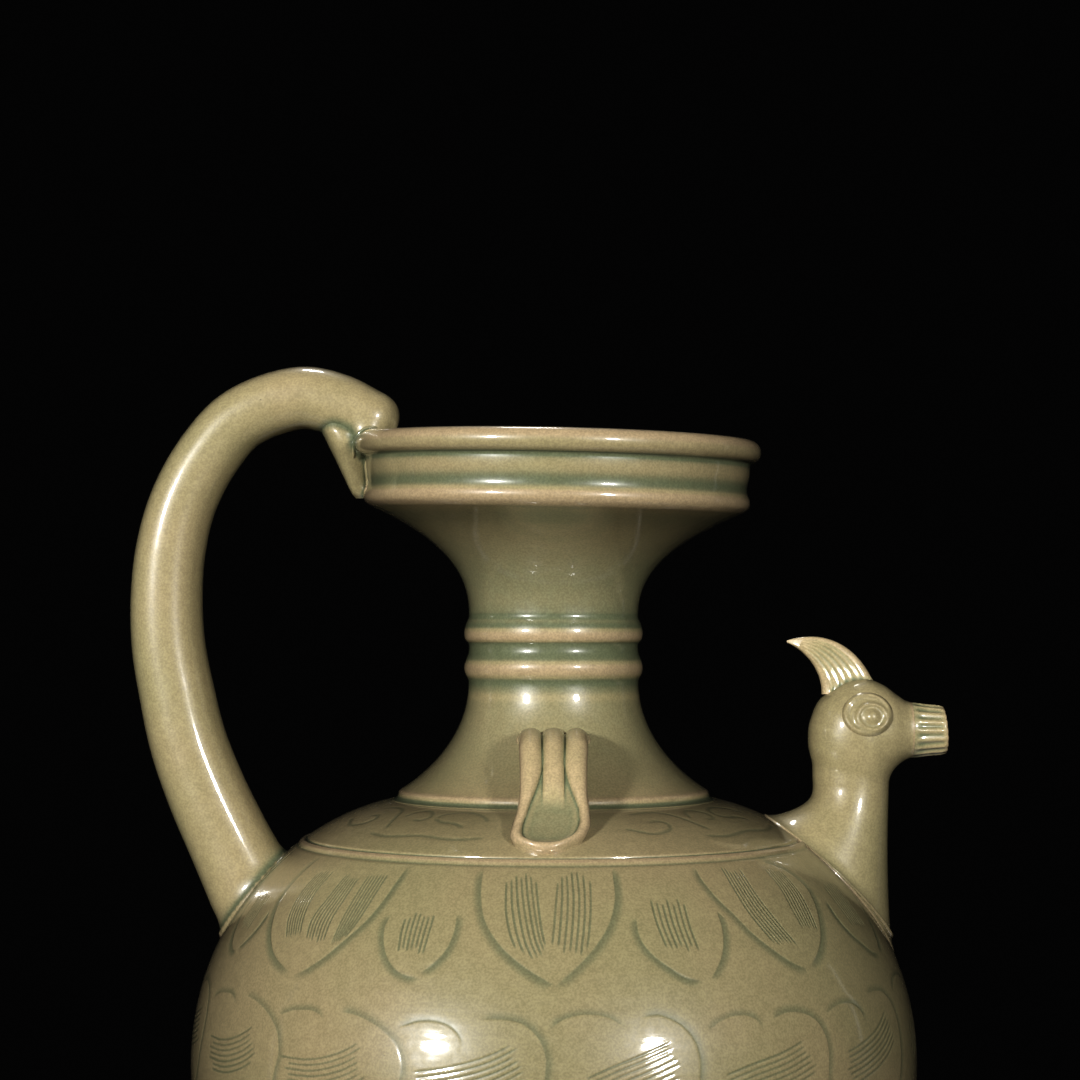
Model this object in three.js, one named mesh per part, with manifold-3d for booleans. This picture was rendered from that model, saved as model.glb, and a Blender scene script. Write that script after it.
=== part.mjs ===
// Chicken-head ewer: a thrown celadon jar with a dish mouth on a ribbed neck, a handle that bites the
// rim, a hollow spout shaped as a cockerel's head, and two ridged cord lugs on the shoulder.
// Millimetres, +Z up, the origin in the middle of the flat base. The spout points to +X, the handle to -X.
import * as THREE from 'three';
import { mergeVertices } from 'three/addons/utils/BufferGeometryUtils.js';
import Module from 'manifold-3d';

const wasm = await Module();
wasm.setup();

// Body
const bellyRadius = 94;
const equatorHeight = 95;
const baseRadius = 50;
const baseThickness = 8;
const footBevel = 1.2;
const shoulderRise = 66.3;
const shoulderTopRadius = 42.5;
const bodyWall = 5;
const throatWall = 8.8;
const ringRadius = 67;
const ringHeight = 0.9;
const ringWidth = 2.6;

// Neck
const neckRadius = 22.4;
const neckBore = 17.2;
const neckFlareRise = 29.7;
const neckBead = 2.1;
const ribPitch = 9.5;
const ribHeight = 1.2;
const ribCount = 2;

// Dish mouth
const flareRise = 27;
const collarRadius = 50.8;
const collarHeight = 19;
const lipOverhang = 3.1;
const mouthWall = 4.2;

// Handle
const handleOverhang = 8.2;
const handleFootInset = 14.9;
const handleCrest = 11.1;
const handleSnout = 4.4;
const handleThickness = 16.6;
const handleFootThickness = 23.4;
const handleWidth = 18.4;
const handleSink = 12;
const jawDrop = 17.5;
const jawThickness = 8.2;
const jawWidth = 14;

// Spout neck
const spoutInset = 15.4;
const spoutRadius = 10.4;
const spoutBore = 5.4;
const spoutRise = 26.3;
const footBack = 12.2;
const footSpread = 4.6;

// Cockerel's head
const headTurnRadius = 15.4;
const beakRise = 14.4;
const headEndRadius = 7.9;
const crownBulge = 9;
const cheekBulge = 2.8;
const beakLength = 10.1;
const beakRootRadius = 7.4;
const beakTipRadius = 6.5;
const beakBore = 3.6;
const fluteCount = 16;
const fluteDepth = 0.6;
const combSpan = 24.6;
const combRise = 15.8;
const combSink = 4.5;
const combThickness = 4.4;
const combRidgePitch = 2.2;
const combRidgeDepth = 0.45;
const combRounding = 6;
const combTipShare = 0.55;
const combEdgeShare = 0.3;
const eyeRadius = 6.2;
const eyeRelief = 1.5;
const irisRadius = 3.9;

// Cord lugs
const lugReach = 64;
const lugTopRise = 17.5;
const lugWidth = 17.8;
const lugThickness = 4.6;
const lugRidge = 1.5;

// Joints between pieces
const lutingGap = 0.3;
const weldDistance = 0.0001;

// Sizes that follow from those above
const neckSeam = equatorHeight + shoulderRise;
const neckTop = neckSeam + neckFlareRise + ribCount * ribPitch;
const collarFoot = neckTop + flareRise;
const rimHeight = collarFoot + collarHeight;
const lipRadius = collarRadius + lipOverhang;
const throatRadius = shoulderTopRadius - throatWall;
const handleReach = bellyRadius + handleOverhang;
const handleFootRadius = bellyRadius - handleFootInset;
const spoutReach = bellyRadius - spoutInset;

// Facets
const bodySides = 40;
const neckSides = 32;
const tubeSides = 16;
const lowerSteps = 8;
const lowerWallSteps = 6;
const shoulderSteps = 13;
const shoulderWallSteps = 9;
const neckFlareSteps = 7;
const neckBoreSteps = 6;
const ribSteps = 5;
const mouthFlareSteps = 8;
const mouthFunnelSteps = 5;

const point = (radius, height) => new THREE.Vector2(radius, height);
const mix = THREE.MathUtils.lerp;

function bezier(start, startHandle, endHandle, end, steps) {
  return new THREE.CubicBezierCurve(start, startHandle, endHandle, end).getPoints(steps);
}

// Moves every point of an outline sideways, to the right of its direction of travel.
function offsetOutline(outline, distance, closed = false) {
  const count = outline.length;
  return outline.map((here, i) => {
    const before = closed ? outline[(i + count - 1) % count] : outline[Math.max(i - 1, 0)];
    const after = closed ? outline[(i + 1) % count] : outline[Math.min(i + 1, count - 1)];
    const along = after.clone().sub(before).normalize();
    return point(here.x + along.y * distance, here.y - along.x * distance);
  });
}

function lathe(profile, sides) {
  return new THREE.LatheGeometry(profile, sides).rotateX(Math.PI / 2);
}

// A closed skin over a row of rings that all have the same number of points, with both ends closed.
function loft(rings) {
  const size = rings[0].length;
  const points = rings.flat();
  const corners = [];
  const quad = (a, b, c, d) => corners.push(a, b, c, a, c, d);
  for (let i = 0; i + 1 < rings.length; i++) {
    for (let j = 0; j < size; j++) {
      const next = (j + 1) % size;
      quad(i * size + j, i * size + next, (i + 1) * size + next, (i + 1) * size + j);
    }
  }
  for (const [ring, flip] of [[0, true], [rings.length - 1, false]]) {
    const middle = new THREE.Vector3();
    rings[ring].forEach((corner) => middle.addScaledVector(corner, 1 / size));
    points.push(middle);
    for (let j = 0; j < size; j++) {
      const here = ring * size + j;
      const next = ring * size + (j + 1) % size;
      corners.push(points.length - 1, flip ? next : here, flip ? here : next);
    }
  }
  const geometry = new THREE.BufferGeometry().setFromPoints(points);
  geometry.setIndex(corners);
  return geometry;
}

// A welded mesh without flat triangles becomes a solid that can be cut and joined.
function toSolid(geometry) {
  const bare = new THREE.BufferGeometry();
  bare.setAttribute('position', geometry.getAttribute('position'));
  bare.setIndex(geometry.index);
  const welded = mergeVertices(bare, weldDistance);
  const corners = [];
  for (let i = 0; i < welded.index.count; i += 3) {
    const [a, b, c] = [0, 1, 2].map((k) => welded.index.getX(i + k));
    if (a !== b && b !== c && c !== a) corners.push(a, b, c);
  }
  if (signedVolume(welded, corners) < 0) corners.reverse();
  return new wasm.Manifold(new wasm.Mesh({
    numProp: 3,
    vertProperties: new Float32Array(welded.getAttribute('position').array),
    triVerts: new Uint32Array(corners),
  }));
}

function signedVolume(geometry, corners) {
  const at = (i) => new THREE.Vector3().fromBufferAttribute(geometry.getAttribute('position'), i);
  let volume = 0;
  for (let i = 0; i < corners.length; i += 3) {
    const [a, b, c] = [at(corners[i]), at(corners[i + 1]), at(corners[i + 2])];
    volume += a.dot(b.cross(c));
  }
  return volume;
}

function toMesh(name, solid, material) {
  const { vertProperties, triVerts } = solid.getMesh();
  const geometry = new THREE.BufferGeometry();
  geometry.setAttribute('position', new THREE.BufferAttribute(vertProperties, 3));
  geometry.setIndex(new THREE.BufferAttribute(triVerts, 1));
  geometry.computeVertexNormals();
  const mesh = new THREE.Mesh(geometry, material);
  mesh.name = name;
  return mesh;
}

// Outside of the body: one curve from the foot to the equator and one over the shoulder.
const lowerFootShares = [0.34, 0.3];
const lowerBellyShare = 0.4;
const shoulderBulgeShare = 0.518;
const shoulderTopShare = 0.522;
const shoulderTopSlope = 0.194;

function lowerOutline(inset, steps) {
  const start = point(baseRadius - inset, baseThickness);
  const end = point(bellyRadius - inset, equatorHeight);
  const spread = end.x - start.x;
  const rise = end.y - start.y;
  const startHandle = point(start.x + spread * lowerFootShares[0], start.y + rise * lowerFootShares[1]);
  const endHandle = point(end.x, end.y - rise * lowerBellyShare);
  return bezier(start, startHandle, endHandle, end, steps);
}

function shoulderOutline(steps) {
  const start = point(bellyRadius, equatorHeight);
  const end = point(shoulderTopRadius, neckSeam);
  const run = (start.x - end.x) * shoulderTopShare;
  const startHandle = point(start.x, start.y + shoulderRise * shoulderBulgeShare);
  const endHandle = point(end.x + run, end.y - run * shoulderTopSlope);
  return bezier(start, startHandle, endHandle, end, steps);
}

// Height of the shoulder's outside at a given distance from the axis.
const fineSteps = 64;
const fineShoulder = shoulderOutline(fineSteps);
function shoulderHeight(radius) {
  const past = fineShoulder.findIndex((corner) => corner.x <= radius);
  if (past < 0) return neckSeam;
  if (past === 0) return equatorHeight;
  const [a, b] = [fineShoulder[past - 1], fineShoulder[past]];
  return mix(a.y, b.y, (a.x - radius) / (a.x - b.x));
}
const spoutTopHeight = shoulderHeight(spoutReach) + spoutRise;

// A raised line round the shoulder, as four points that stand on the curve.
const ringShares = [[1, 0], [0.45, 1], [-0.45, 1], [-1, 0]];
function withShoulderRing(outline) {
  const ring = ringShares.map(([side, lift]) => {
    const radius = ringRadius + side * ringWidth / 2;
    return point(radius, shoulderHeight(radius) + lift * ringHeight);
  });
  const outer = outline.filter((corner) => corner.x > ring[0].x + ringWidth / 2);
  const inner = outline.filter((corner) => corner.x < ring[3].x - ringWidth / 2);
  return [...outer, ...ring, ...inner];
}

// Outside of the neck, from its seam on the shoulder to its top.
const beadShares = [[0, 0], [0.04, 0.5], [-0.06, 0.9], [-0.5, 1.1]];
const neckFootShare = 0.42;
const neckFootSlope = 0.62;
const neckRiseShare = 0.46;
function neckOutline() {
  const bead = beadShares.map(([out, high]) =>
    point(shoulderTopRadius + out * neckBead, neckSeam + high * neckBead));
  const start = bead.pop();
  const end = point(neckRadius, neckSeam + neckFlareRise);
  const run = (start.x - end.x) * neckFootShare;
  const startHandle = point(start.x - run, start.y + run * neckFootSlope);
  const endHandle = point(end.x, end.y - neckFlareRise * neckRiseShare);
  const flare = bezier(start, startHandle, endHandle, end, neckFlareSteps);
  const ribs = [];
  for (let i = 1; i <= ribCount * ribSteps; i++) {
    const lift = (1 - Math.cos(i / ribSteps * 2 * Math.PI)) / 2;
    ribs.push(point(end.x + lift * ribHeight, end.y + i / ribSteps * ribPitch));
  }
  return [...bead, ...flare, ...ribs];
}

// Outside of the dish mouth: the flare, a ridge, a shallow waist and the rolled lip.
const flareStartShare = 0.5;
const flareEndShare = 0.5;
const flareEndSlope = 0.44;
const collarShares = [
  [-0.45, 0], [-0.03, 0.07], [0.16, 0.17], [0.08, 0.27], [0, 0.4], [0, 0.56], [0.14, 0.68],
  [0.66, 0.8], [1, 0.9], [0.9, 0.97], [0.5, 1],
];
const lipInsideShares = [[-0.5, 1], [-0.9, 0.93], [-1.15, 0.7], [-1.2, 0.42]];
function mouthOutline() {
  const collar = collarShares.map(([out, high]) =>
    point(collarRadius + out * lipOverhang, collarFoot + high * collarHeight));
  const start = point(neckRadius, neckTop);
  const end = collar.shift();
  const run = (end.x - start.x) * flareEndShare;
  const startHandle = point(start.x, start.y + flareRise * flareStartShare);
  const endHandle = point(end.x - run, end.y - run * flareEndSlope);
  return [...bezier(start, startHandle, endHandle, end, mouthFlareSteps), ...collar];
}

function mouthInside() {
  const wall = lipInsideShares.map(([out, high]) =>
    point(collarRadius + out * mouthWall, collarFoot + high * collarHeight));
  const end = wall.at(-1);
  const start = point(neckBore, neckTop);
  const run = (end.x - start.x) * flareEndShare;
  const startHandle = point(start.x, start.y + flareRise * flareStartShare);
  const endHandle = point(end.x - run, end.y - run * flareEndSlope);
  const funnel = bezier(start, startHandle, endHandle, end, mouthFunnelSteps).reverse();
  return [...wall, ...funnel.slice(1)];
}

// Thrown pieces, each closed by flat faces where it meets the next.
const baseOutline = [
  point(0, 0), point(baseRadius - footBevel, 0), point(baseRadius, footBevel),
  point(baseRadius, baseThickness), point(0, baseThickness),
];

function closeProfile(outside, inside) {
  return [...outside, ...inside, outside[0].clone()];
}

function lowerBelly() {
  const inside = lowerOutline(bodyWall, lowerWallSteps).reverse();
  return toSolid(lathe(closeProfile(lowerOutline(0, lowerSteps), inside), bodySides));
}

function upperBelly() {
  const inside = offsetOutline(shoulderOutline(shoulderWallSteps), -bodyWall);
  inside[0].set(bellyRadius - bodyWall, equatorHeight);
  inside.push(point(throatRadius, neckSeam));
  const outside = withShoulderRing(shoulderOutline(shoulderSteps));
  const jar = toSolid(lathe(closeProfile(outside, inside.reverse()), bodySides));
  return jar.subtract(spoutBoreSolid());
}

function neck() {
  const boreFoot = neckSeam + neckFlareRise * (1 - neckRiseShare);
  const inside = bezier(
    point(neckBore, neckTop), point(neckBore, boreFoot),
    point(neckBore, boreFoot), point(throatRadius, neckSeam), neckBoreSteps);
  return toSolid(lathe(closeProfile(neckOutline(), inside), neckSides));
}

function mouthRing(clearance) {
  const ring = [...mouthOutline(), ...mouthInside()];
  const grown = clearance > 0 ? offsetOutline(ring, clearance, true) : ring;
  return toSolid(lathe([...grown, grown[0].clone()], bodySides));
}

// The body and neck as one full solid, a clearance larger, which seats what is luted onto them.
function vesselCore(clearance) {
  const shoulder = withShoulderRing(shoulderOutline(shoulderSteps)).slice(1);
  const outside = [...lowerOutline(0, lowerSteps), ...shoulder, ...neckOutline().slice(1)];
  const grown = offsetOutline(outside, clearance);
  return toSolid(lathe([point(0, baseThickness), ...grown, point(0, neckTop)], bodySides));
}

// Handle: a pulled strap that rises from the shoulder, bows out and comes over the rim.
// Each row is the share of the way out from the snout to the reach, the share of the rise from
// the foot to the crest, and the share of the way from the top's thickness to the foot's.
const handleShares = [
  [0.562, 0, 1], [0.685, 0.1, 0.74], [0.797, 0.198, 0.62], [0.888, 0.297, 0.52], [0.945, 0.394, 0.44],
  [0.989, 0.492, 0.38], [1, 0.59, 0.32], [0.981, 0.688, 0.24], [0.92, 0.786, 0.14],
  [0.795, 0.883, 0.06], [0.628, 0.958, 0], [0.332, 1, 0], [0.142, 0.985, 0.02], [0, 0.956, 0],
];
const snoutShares = [[0.35, 0.94], [0.65, 0.76], [0.88, 0.48], [1, 0.12]];
const handleSteps = 21;

function handleSolid(clearance) {
  const crestHeight = rimHeight + handleCrest;
  const snoutRadius = lipRadius - handleSnout;
  const footHeight = shoulderHeight(handleFootRadius);
  const outAt = (share) => snoutRadius + (handleReach - snoutRadius) * share;
  const footShift = handleFootRadius - outAt(handleShares[0][0]);
  const places = handleShares.map(([out, rise]) =>
    new THREE.Vector3(-outAt(out) - footShift * (1 - rise), 0, mix(footHeight, crestHeight, rise)));
  const path = new THREE.CatmullRomCurve3(places, false, 'centripetal');
  const thicknessAt = (share) => {
    const place = share * (handleShares.length - 1);
    const before = Math.min(Math.floor(place), handleShares.length - 2);
    return mix(handleShares[before][2], handleShares[before + 1][2], place - before);
  };
  const across = new THREE.Vector3(0, 1, 0);
  const ringAt = (centre, along, thickness, width) => {
    const outward = new THREE.Vector3().crossVectors(across, along).normalize();
    return sectionRing(centre, outward, across, thickness / 2 + clearance, width / 2 + clearance);
  };
  const rings = [];
  const footAlong = path.getTangent(0);
  const footCentre = path.getPoint(0).addScaledVector(footAlong, -handleSink);
  rings.push(ringAt(footCentre, footAlong, handleFootThickness, handleFootThickness));
  for (let i = 0; i <= handleSteps; i++) {
    const share = i / handleSteps;
    const grow = thicknessAt(share);
    const thickness = mix(handleThickness, handleFootThickness, grow);
    rings.push(ringAt(path.getPoint(share), path.getTangent(share), thickness,
      mix(handleWidth, handleFootThickness, grow)));
  }
  const snoutAlong = path.getTangent(1);
  for (const [out, size] of snoutShares) {
    const centre = path.getPoint(1).addScaledVector(snoutAlong, out * handleThickness / 2);
    rings.push(ringAt(centre, snoutAlong, handleThickness * size, handleWidth * size));
  }
  return toSolid(loft(rings));
}

// A rounded section: a circle drawn out a little towards the corners, as a pulled handle has.
const squarenessShare = 0.9;
function sectionRing(centre, first, second, firstHalf, secondHalf, sides = tubeSides) {
  return Array.from({ length: sides }, (_, i) => {
    const angle = i / sides * 2 * Math.PI;
    const soften = (value) => Math.sign(value) * Math.abs(value) ** squarenessShare;
    return centre.clone()
      .addScaledVector(first, firstHalf * soften(Math.cos(angle)))
      .addScaledVector(second, secondHalf * soften(Math.sin(angle)));
  });
}

// Lower jaw of the bite: a tongue that tapers down the outside of the collar.
const jawShares = [
  [0, 1.5, 1.05], [0.16, 1.12, 1], [0.36, 0.86, 0.9], [0.58, 0.66, 0.74], [0.8, 0.46, 0.54], [1, 0.2, 0.2],
];
function jawSolid() {
  const outward = new THREE.Vector3(-1, 0, 0);
  const across = new THREE.Vector3(0, 1, 0);
  const top = rimHeight + handleCrest - handleThickness / 2;
  const rings = jawShares.map(([drop, thick, wide]) => {
    const inner = collarRadius - mouthWall / 2;
    const outer = collarRadius + jawThickness * thick;
    const centre = new THREE.Vector3(-(inner + outer) / 2, 0, top - drop * jawDrop);
    return sectionRing(centre, outward, across, (outer - inner) / 2, wide * jawWidth / 2);
  });
  return toSolid(loft(rings));
}

// Spout neck: a short tube that spreads into a foot on the slope of the shoulder.
const footRings = 8;
const footSides = 28;
const footEasing = 3;
function spoutNeckSolid() {
  const footCentre = spoutReach - footBack / 2;
  const footHalf = spoutRadius + footBack / 2;
  const rings = [];
  for (let i = 0; i <= footRings; i++) {
    const down = i / footRings;
    const spread = down ** footEasing;
    const ring = [];
    for (let j = 0; j < footSides; j++) {
      const angle = j / footSides * 2 * Math.PI;
      const footX = footCentre + footHalf * Math.cos(angle);
      const footY = (spoutRadius + footSpread) * Math.sin(angle);
      const ground = shoulderHeight(Math.hypot(footX, footY)) - bodyWall / 2;
      const x = mix(spoutReach + spoutRadius * Math.cos(angle), footX, spread);
      const y = mix(spoutRadius * Math.sin(angle), footY, spread);
      ring.push(new THREE.Vector3(x, y, mix(spoutTopHeight, ground, down)));
    }
    rings.push(ring);
  }
  return toSolid(loft(rings));
}

function spoutBoreSolid() {
  const top = spoutTopHeight + bodyWall;
  const bottom = shoulderHeight(spoutReach + spoutBore) - 3 * bodyWall;
  const bore = new THREE.CylinderGeometry(spoutBore, spoutBore, top - bottom, tubeSides);
  bore.rotateX(Math.PI / 2).translate(spoutReach, 0, (top + bottom) / 2);
  return toSolid(bore);
}

// Head: sections that turn about the throat, from level on the tube to upright at the beak.
// Each row is the share of the quarter turn and the share of the crown's and cheeks' bulge.
const headShares = [
  [0, 0], [0.12, 0.12], [0.24, 0.47], [0.37, 0.8], [0.5, 1], [0.62, 1], [0.73, 0.88], [0.82, 0.58],
  [0.9, 0.22], [0.96, 0.04], [1, 0],
];
const headSides = 26;
const throat = new THREE.Vector3(spoutReach + headTurnRadius, 0, spoutTopHeight);

function headSection(turn, bulge) {
  const angle = turn * Math.PI / 2;
  const outward = new THREE.Vector3(-Math.cos(angle), 0, Math.sin(angle));
  const near = mix(headTurnRadius - spoutRadius, beakRise - headEndRadius, turn);
  const far = mix(headTurnRadius + spoutRadius, beakRise + headEndRadius, turn) + crownBulge * bulge;
  const half = mix(spoutRadius, headEndRadius, turn) + cheekBulge * bulge;
  return { outward, near, far, half };
}

function headSolid(clearance) {
  const across = new THREE.Vector3(0, 1, 0);
  const rings = headShares.map(([turn, bulge]) => {
    const { outward, near, far, half } = headSection(turn, bulge);
    const centre = throat.clone().addScaledVector(outward, (near + far) / 2);
    return sectionRing(centre, outward, across, (far - near) / 2 + clearance, half + clearance, headSides);
  });
  return toSolid(loft(rings));
}

function headBoreSolid() {
  const across = new THREE.Vector3(0, 1, 0);
  const turns = 8;
  const rings = [];
  for (let i = 0; i <= turns; i++) {
    const angle = i / turns * Math.PI / 2;
    const outward = new THREE.Vector3(-Math.cos(angle), 0, Math.sin(angle));
    const centre = throat.clone().addScaledVector(outward, mix(headTurnRadius, beakRise, i / turns));
    const bore = mix(spoutBore, beakBore, i / turns);
    rings.push(sectionRing(centre, outward, across, bore, bore));
  }
  const overrun = (ring, x, z) => ring.map((corner) => corner.clone().add(new THREE.Vector3(x, 0, z)));
  rings.unshift(overrun(rings[0], 0, -bodyWall));
  rings.push(overrun(rings.at(-1), bodyWall, 0));
  return toSolid(loft(rings));
}

// Beak: a short fluted tube with an open end.
const beakShares = [[0, 0], [0.3, 0.25], [0.75, 0.75], [0.95, 1.1], [1, 1.7]];
function beakSolid() {
  const perFlute = 3;
  const count = fluteCount * perFlute;
  const rings = beakShares.map(([along, taper]) => Array.from({ length: count }, (_, i) => {
    const angle = i / count * 2 * Math.PI;
    const flute = (1 + Math.cos(angle * fluteCount)) / 2 * fluteDepth;
    const radius = mix(beakRootRadius, beakTipRadius, taper) - flute;
    const height = throat.z + beakRise + radius * Math.sin(angle);
    return new THREE.Vector3(throat.x + along * beakLength, radius * Math.cos(angle), height);
  }));
  const bore = new THREE.CylinderGeometry(beakBore, beakBore, 2 * beakLength, tubeSides);
  bore.rotateZ(Math.PI / 2).translate(throat.x + beakLength / 2, 0, throat.z + beakRise);
  return toSolid(loft(rings)).subtract(toSolid(bore));
}

// Comb: a curved blade with ridges that run along it from the crown to the tip.
const combTurnShare = 0.78;
const combBulgeShare = 0.75;
const combBackShares = [[0.62, 0], [0.62, 0.42], [0.76, 0.76], [1, 0.93]];
const combFrontShares = [[-0.06, 0.0], [0.22, 0.98], [0.68, 1.12], [1, 0.97]];
const combStations = 8;
const combAcross = 22;
function combSolid() {
  const { outward, far } = headSection(combTurnShare, combBulgeShare);
  const root = throat.clone().addScaledVector(outward, far - combSink);
  const edge = (shares) => new THREE.CubicBezierCurve(...shares.map(([back, high]) =>
    point(root.x - back * combSpan, root.z + high * combRise)));
  const back = edge(combBackShares);
  const front = edge(combFrontShares);
  const rings = [];
  for (let i = 0; i <= combStations; i++) {
    const along = i / combStations;
    const from = back.getPoint(along);
    const to = front.getPoint(along);
    const width = from.distanceTo(to);
    const sideAt = (share, side) => {
      const place = from.clone().lerp(to, share);
      const crest = Math.cos(share * width / combRidgePitch * 2 * Math.PI) * combRidgeDepth / 2;
      const round = Math.sqrt(Math.max(1 - (2 * share - 1) ** combRounding, 0));
      const blade = combThickness / 2 * mix(1, combTipShare, along) - combRidgeDepth / 2;
      const half = (blade + crest) * Math.max(round, combEdgeShare);
      return new THREE.Vector3(place.x, side * half, place.y);
    };
    const shares = Array.from({ length: combAcross }, (_, j) => j / (combAcross - 1));
    const nearFace = shares.map((share) => sideAt(share, -1));
    const farFace = shares.reverse().map((share) => sideAt(share, 1));
    rings.push([...nearFace, ...farFace]);
  }
  return toSolid(loft(rings));
}

// A point on the cheek, by its share of the head's turn and its share of the way out to the crown.
function cheekPoint(turn, out, side) {
  const { outward, near, far, half } = headSection(turn, bulgeAt(turn));
  const place = throat.clone().addScaledVector(outward, mix(near, far, out));
  place.y = -side * half * Math.sqrt(1 - (2 * out - 1) ** 2);
  return place;
}

function bulgeAt(turn) {
  const after = headShares.findIndex(([share]) => share >= turn);
  const [a, b] = [headShares[after - 1], headShares[after]];
  return mix(a[1], b[1], (turn - a[0]) / (b[0] - a[0]));
}

// Eye: a ringed button on each cheek, with the iris set low and forward in the outer ring.
const eyePlaceShares = [0.664, 0.62];
const irisPlaceShares = [0.674, 0.545];
const eyeShares = [[0, 0.55], [0.55, 0.55], [0.76, 0.55], [0.85, 0.95], [0.94, 0.9], [1, 0.4], [1, -2]];
const irisShares = [
  [0, 1.3], [0.4, 1.2], [0.64, 0.75], [0.76, 0.75], [0.86, 1.15], [0.95, 1.1], [1, 0.6], [1, -1.6],
];
const probeShare = 0.02;

function cheekButton(shares, radius, [turn, out], side) {
  const place = cheekPoint(turn, out, side);
  const alongTurn = cheekPoint(turn + probeShare, out, side).sub(place);
  const alongOut = cheekPoint(turn, out + probeShare, side).sub(place);
  const normal = alongOut.cross(alongTurn).normalize();
  if (normal.y * side > 0) normal.negate();
  const profile = shares.map(([reach, lift]) => {
    const sag = (radius * reach) ** 2 / (2 * (spoutRadius + cheekBulge));
    return point(radius * reach, eyeRelief * lift - sag);
  });
  profile.push(point(0, profile.at(-1).y));
  const turned = new THREE.Quaternion().setFromUnitVectors(new THREE.Vector3(0, 0, 1), normal);
  return toSolid(lathe(profile, tubeSides).applyQuaternion(turned).translate(place.x, place.y, place.z));
}

function eyeSolid(side) {
  const ring = cheekButton(eyeShares, eyeRadius, eyePlaceShares, side);
  const iris = cheekButton(irisShares, irisRadius, irisPlaceShares, side);
  return ring.add(iris).subtract(headSolid(lutingGap));
}

// Lug: a strap of three rounded ridges that leaves the neck, arches over and is thumbed on the shoulder.
// Each row is the share of the reach, the share of the rise, the width and the height of the ridges.
const lugShares = [
  [-0.1, 0.86, 0.98, 0.8], [0.1, 0.975, 1, 1], [0.26, 1, 1, 1], [0.41, 0.92, 0.98, 1],
  [0.54, 0.735, 0.95, 1], [0.645, 0.515, 0.94, 1], [0.745, 0.305, 0.96, 0.5], [0.845, 0.155, 1, -0.4],
  [0.93, 0.055, 0.92, -0.6], [0.98, 0, 0.66, -0.4], [1, -0.03, 0.3, 0],
];
const lugRidges = 3;
const lugAcross = 13;
const lugRounding = 4;
const lugEdgeShare = 0.25;
function lugSolid() {
  const tipHeight = shoulderHeight(lugReach) + lugThickness / 3;
  const topHeight = neckSeam + lugTopRise;
  const places = lugShares.map(([out, rise]) =>
    new THREE.Vector3(0, -mix(neckRadius, lugReach, out), mix(tipHeight, topHeight, rise)));
  const path = new THREE.CatmullRomCurve3(places, false, 'centripetal');
  const sideways = new THREE.Vector3(1, 0, 0);
  const rings = lugShares.map(([, , wide, ridge], i) => {
    const along = path.getTangent(i / (lugShares.length - 1));
    const outward = new THREE.Vector3().crossVectors(along, sideways).normalize();
    const ring = [];
    for (const face of [1, -1]) {
      for (let j = 0; j < lugAcross; j++) {
        const share = (face > 0 ? j : lugAcross - 1 - j) / (lugAcross - 1);
        const x = (share - 0.5) * lugWidth * wide;
        const edge = Math.sqrt(Math.max(1 - (2 * share - 1) ** lugRounding, 0));
        const half = lugThickness / 2 * Math.max(edge, lugEdgeShare);
        const lobe = (1 - Math.cos(share * lugRidges * 2 * Math.PI)) / 2 * lugRidge * ridge;
        const lift = face > 0 ? half + lobe - Math.max(ridge, 0) * lugRidge / 2 : -half;
        ring.push(places[i].clone().addScaledVector(sideways, x).addScaledVector(outward, lift));
      }
    }
    return ring;
  });
  return toSolid(loft(rings));
}

// Materials
const celadon = new THREE.MeshStandardMaterial({ color: 0x9a9670, roughness: 0.16, metalness: 0 });
const paleCeladon = new THREE.MeshStandardMaterial({ color: 0xaba47e, roughness: 0.16, metalness: 0 });
const bareClay = new THREE.MeshStandardMaterial({ color: 0xa98a72, roughness: 0.85, metalness: 0 });

// Assembly
const core = vesselCore(lutingGap);
const rim = mouthRing(lutingGap);
const bore = spoutBoreSolid();
const handle = handleSolid(0).subtract(core).subtract(rim);
const lug = lugSolid().subtract(core);

const body = new THREE.Group();
body.add(toMesh('base_disc', toSolid(lathe(baseOutline, bodySides)), bareClay));
body.add(toMesh('lower_belly', lowerBelly(), celadon));
body.add(toMesh('upper_belly', upperBelly(), celadon));
body.add(toMesh('neck', neck(), celadon));
body.add(toMesh('dish_mouth', mouthRing(0), paleCeladon));

const grip = new THREE.Group();
grip.add(toMesh('handle', handle, paleCeladon));
grip.add(toMesh('handle_jaw', jawSolid().subtract(handleSolid(lutingGap)).subtract(rim), paleCeladon));

const spout = new THREE.Group();
spout.add(toMesh('spout_neck', spoutNeckSolid().subtract(core).subtract(bore), celadon));
spout.add(toMesh('chicken_head', headSolid(0).subtract(headBoreSolid()), celadon));
spout.add(toMesh('beak_tube', beakSolid(), paleCeladon));
spout.add(toMesh('comb', combSolid().subtract(headSolid(lutingGap)), paleCeladon));
spout.add(toMesh('eye_right', eyeSolid(1), celadon));
spout.add(toMesh('eye_left', eyeSolid(-1), celadon));

const lugs = new THREE.Group();
lugs.add(toMesh('lug_front', lug, paleCeladon));
const lugBack = toMesh('lug_back', lug, paleCeladon);
lugBack.rotation.z = Math.PI;
lugs.add(lugBack);

const group = new THREE.Group();
group.add(body, grip, spout, lugs);
export default group;
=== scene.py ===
# %% [markdown]
# # A celadon ewer with a cockerel's head
# This lesson dresses a stoneware ewer in Blender. The real one is thrown on a wheel in a few sections,
# carved with a slanted knife, fitted with a handle, a spout and two lugs, and glazed in one olive-green
# glaze that runs thin on every ridge and gathers in every hollow. The glaze is what makes the object, so
# each form here is built fine enough for the glaze to find its ridges and hollows. Only the wide runs on
# the mouth and the neck, one of them painted shade, and the pools where pieces are luted together, are
# placed one by one.

# %% Load the fixed frame
import math
import random

import bpy
import numpy as np
from mathutils import Matrix, Vector
from mathutils.bvhtree import BVHTree


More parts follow.
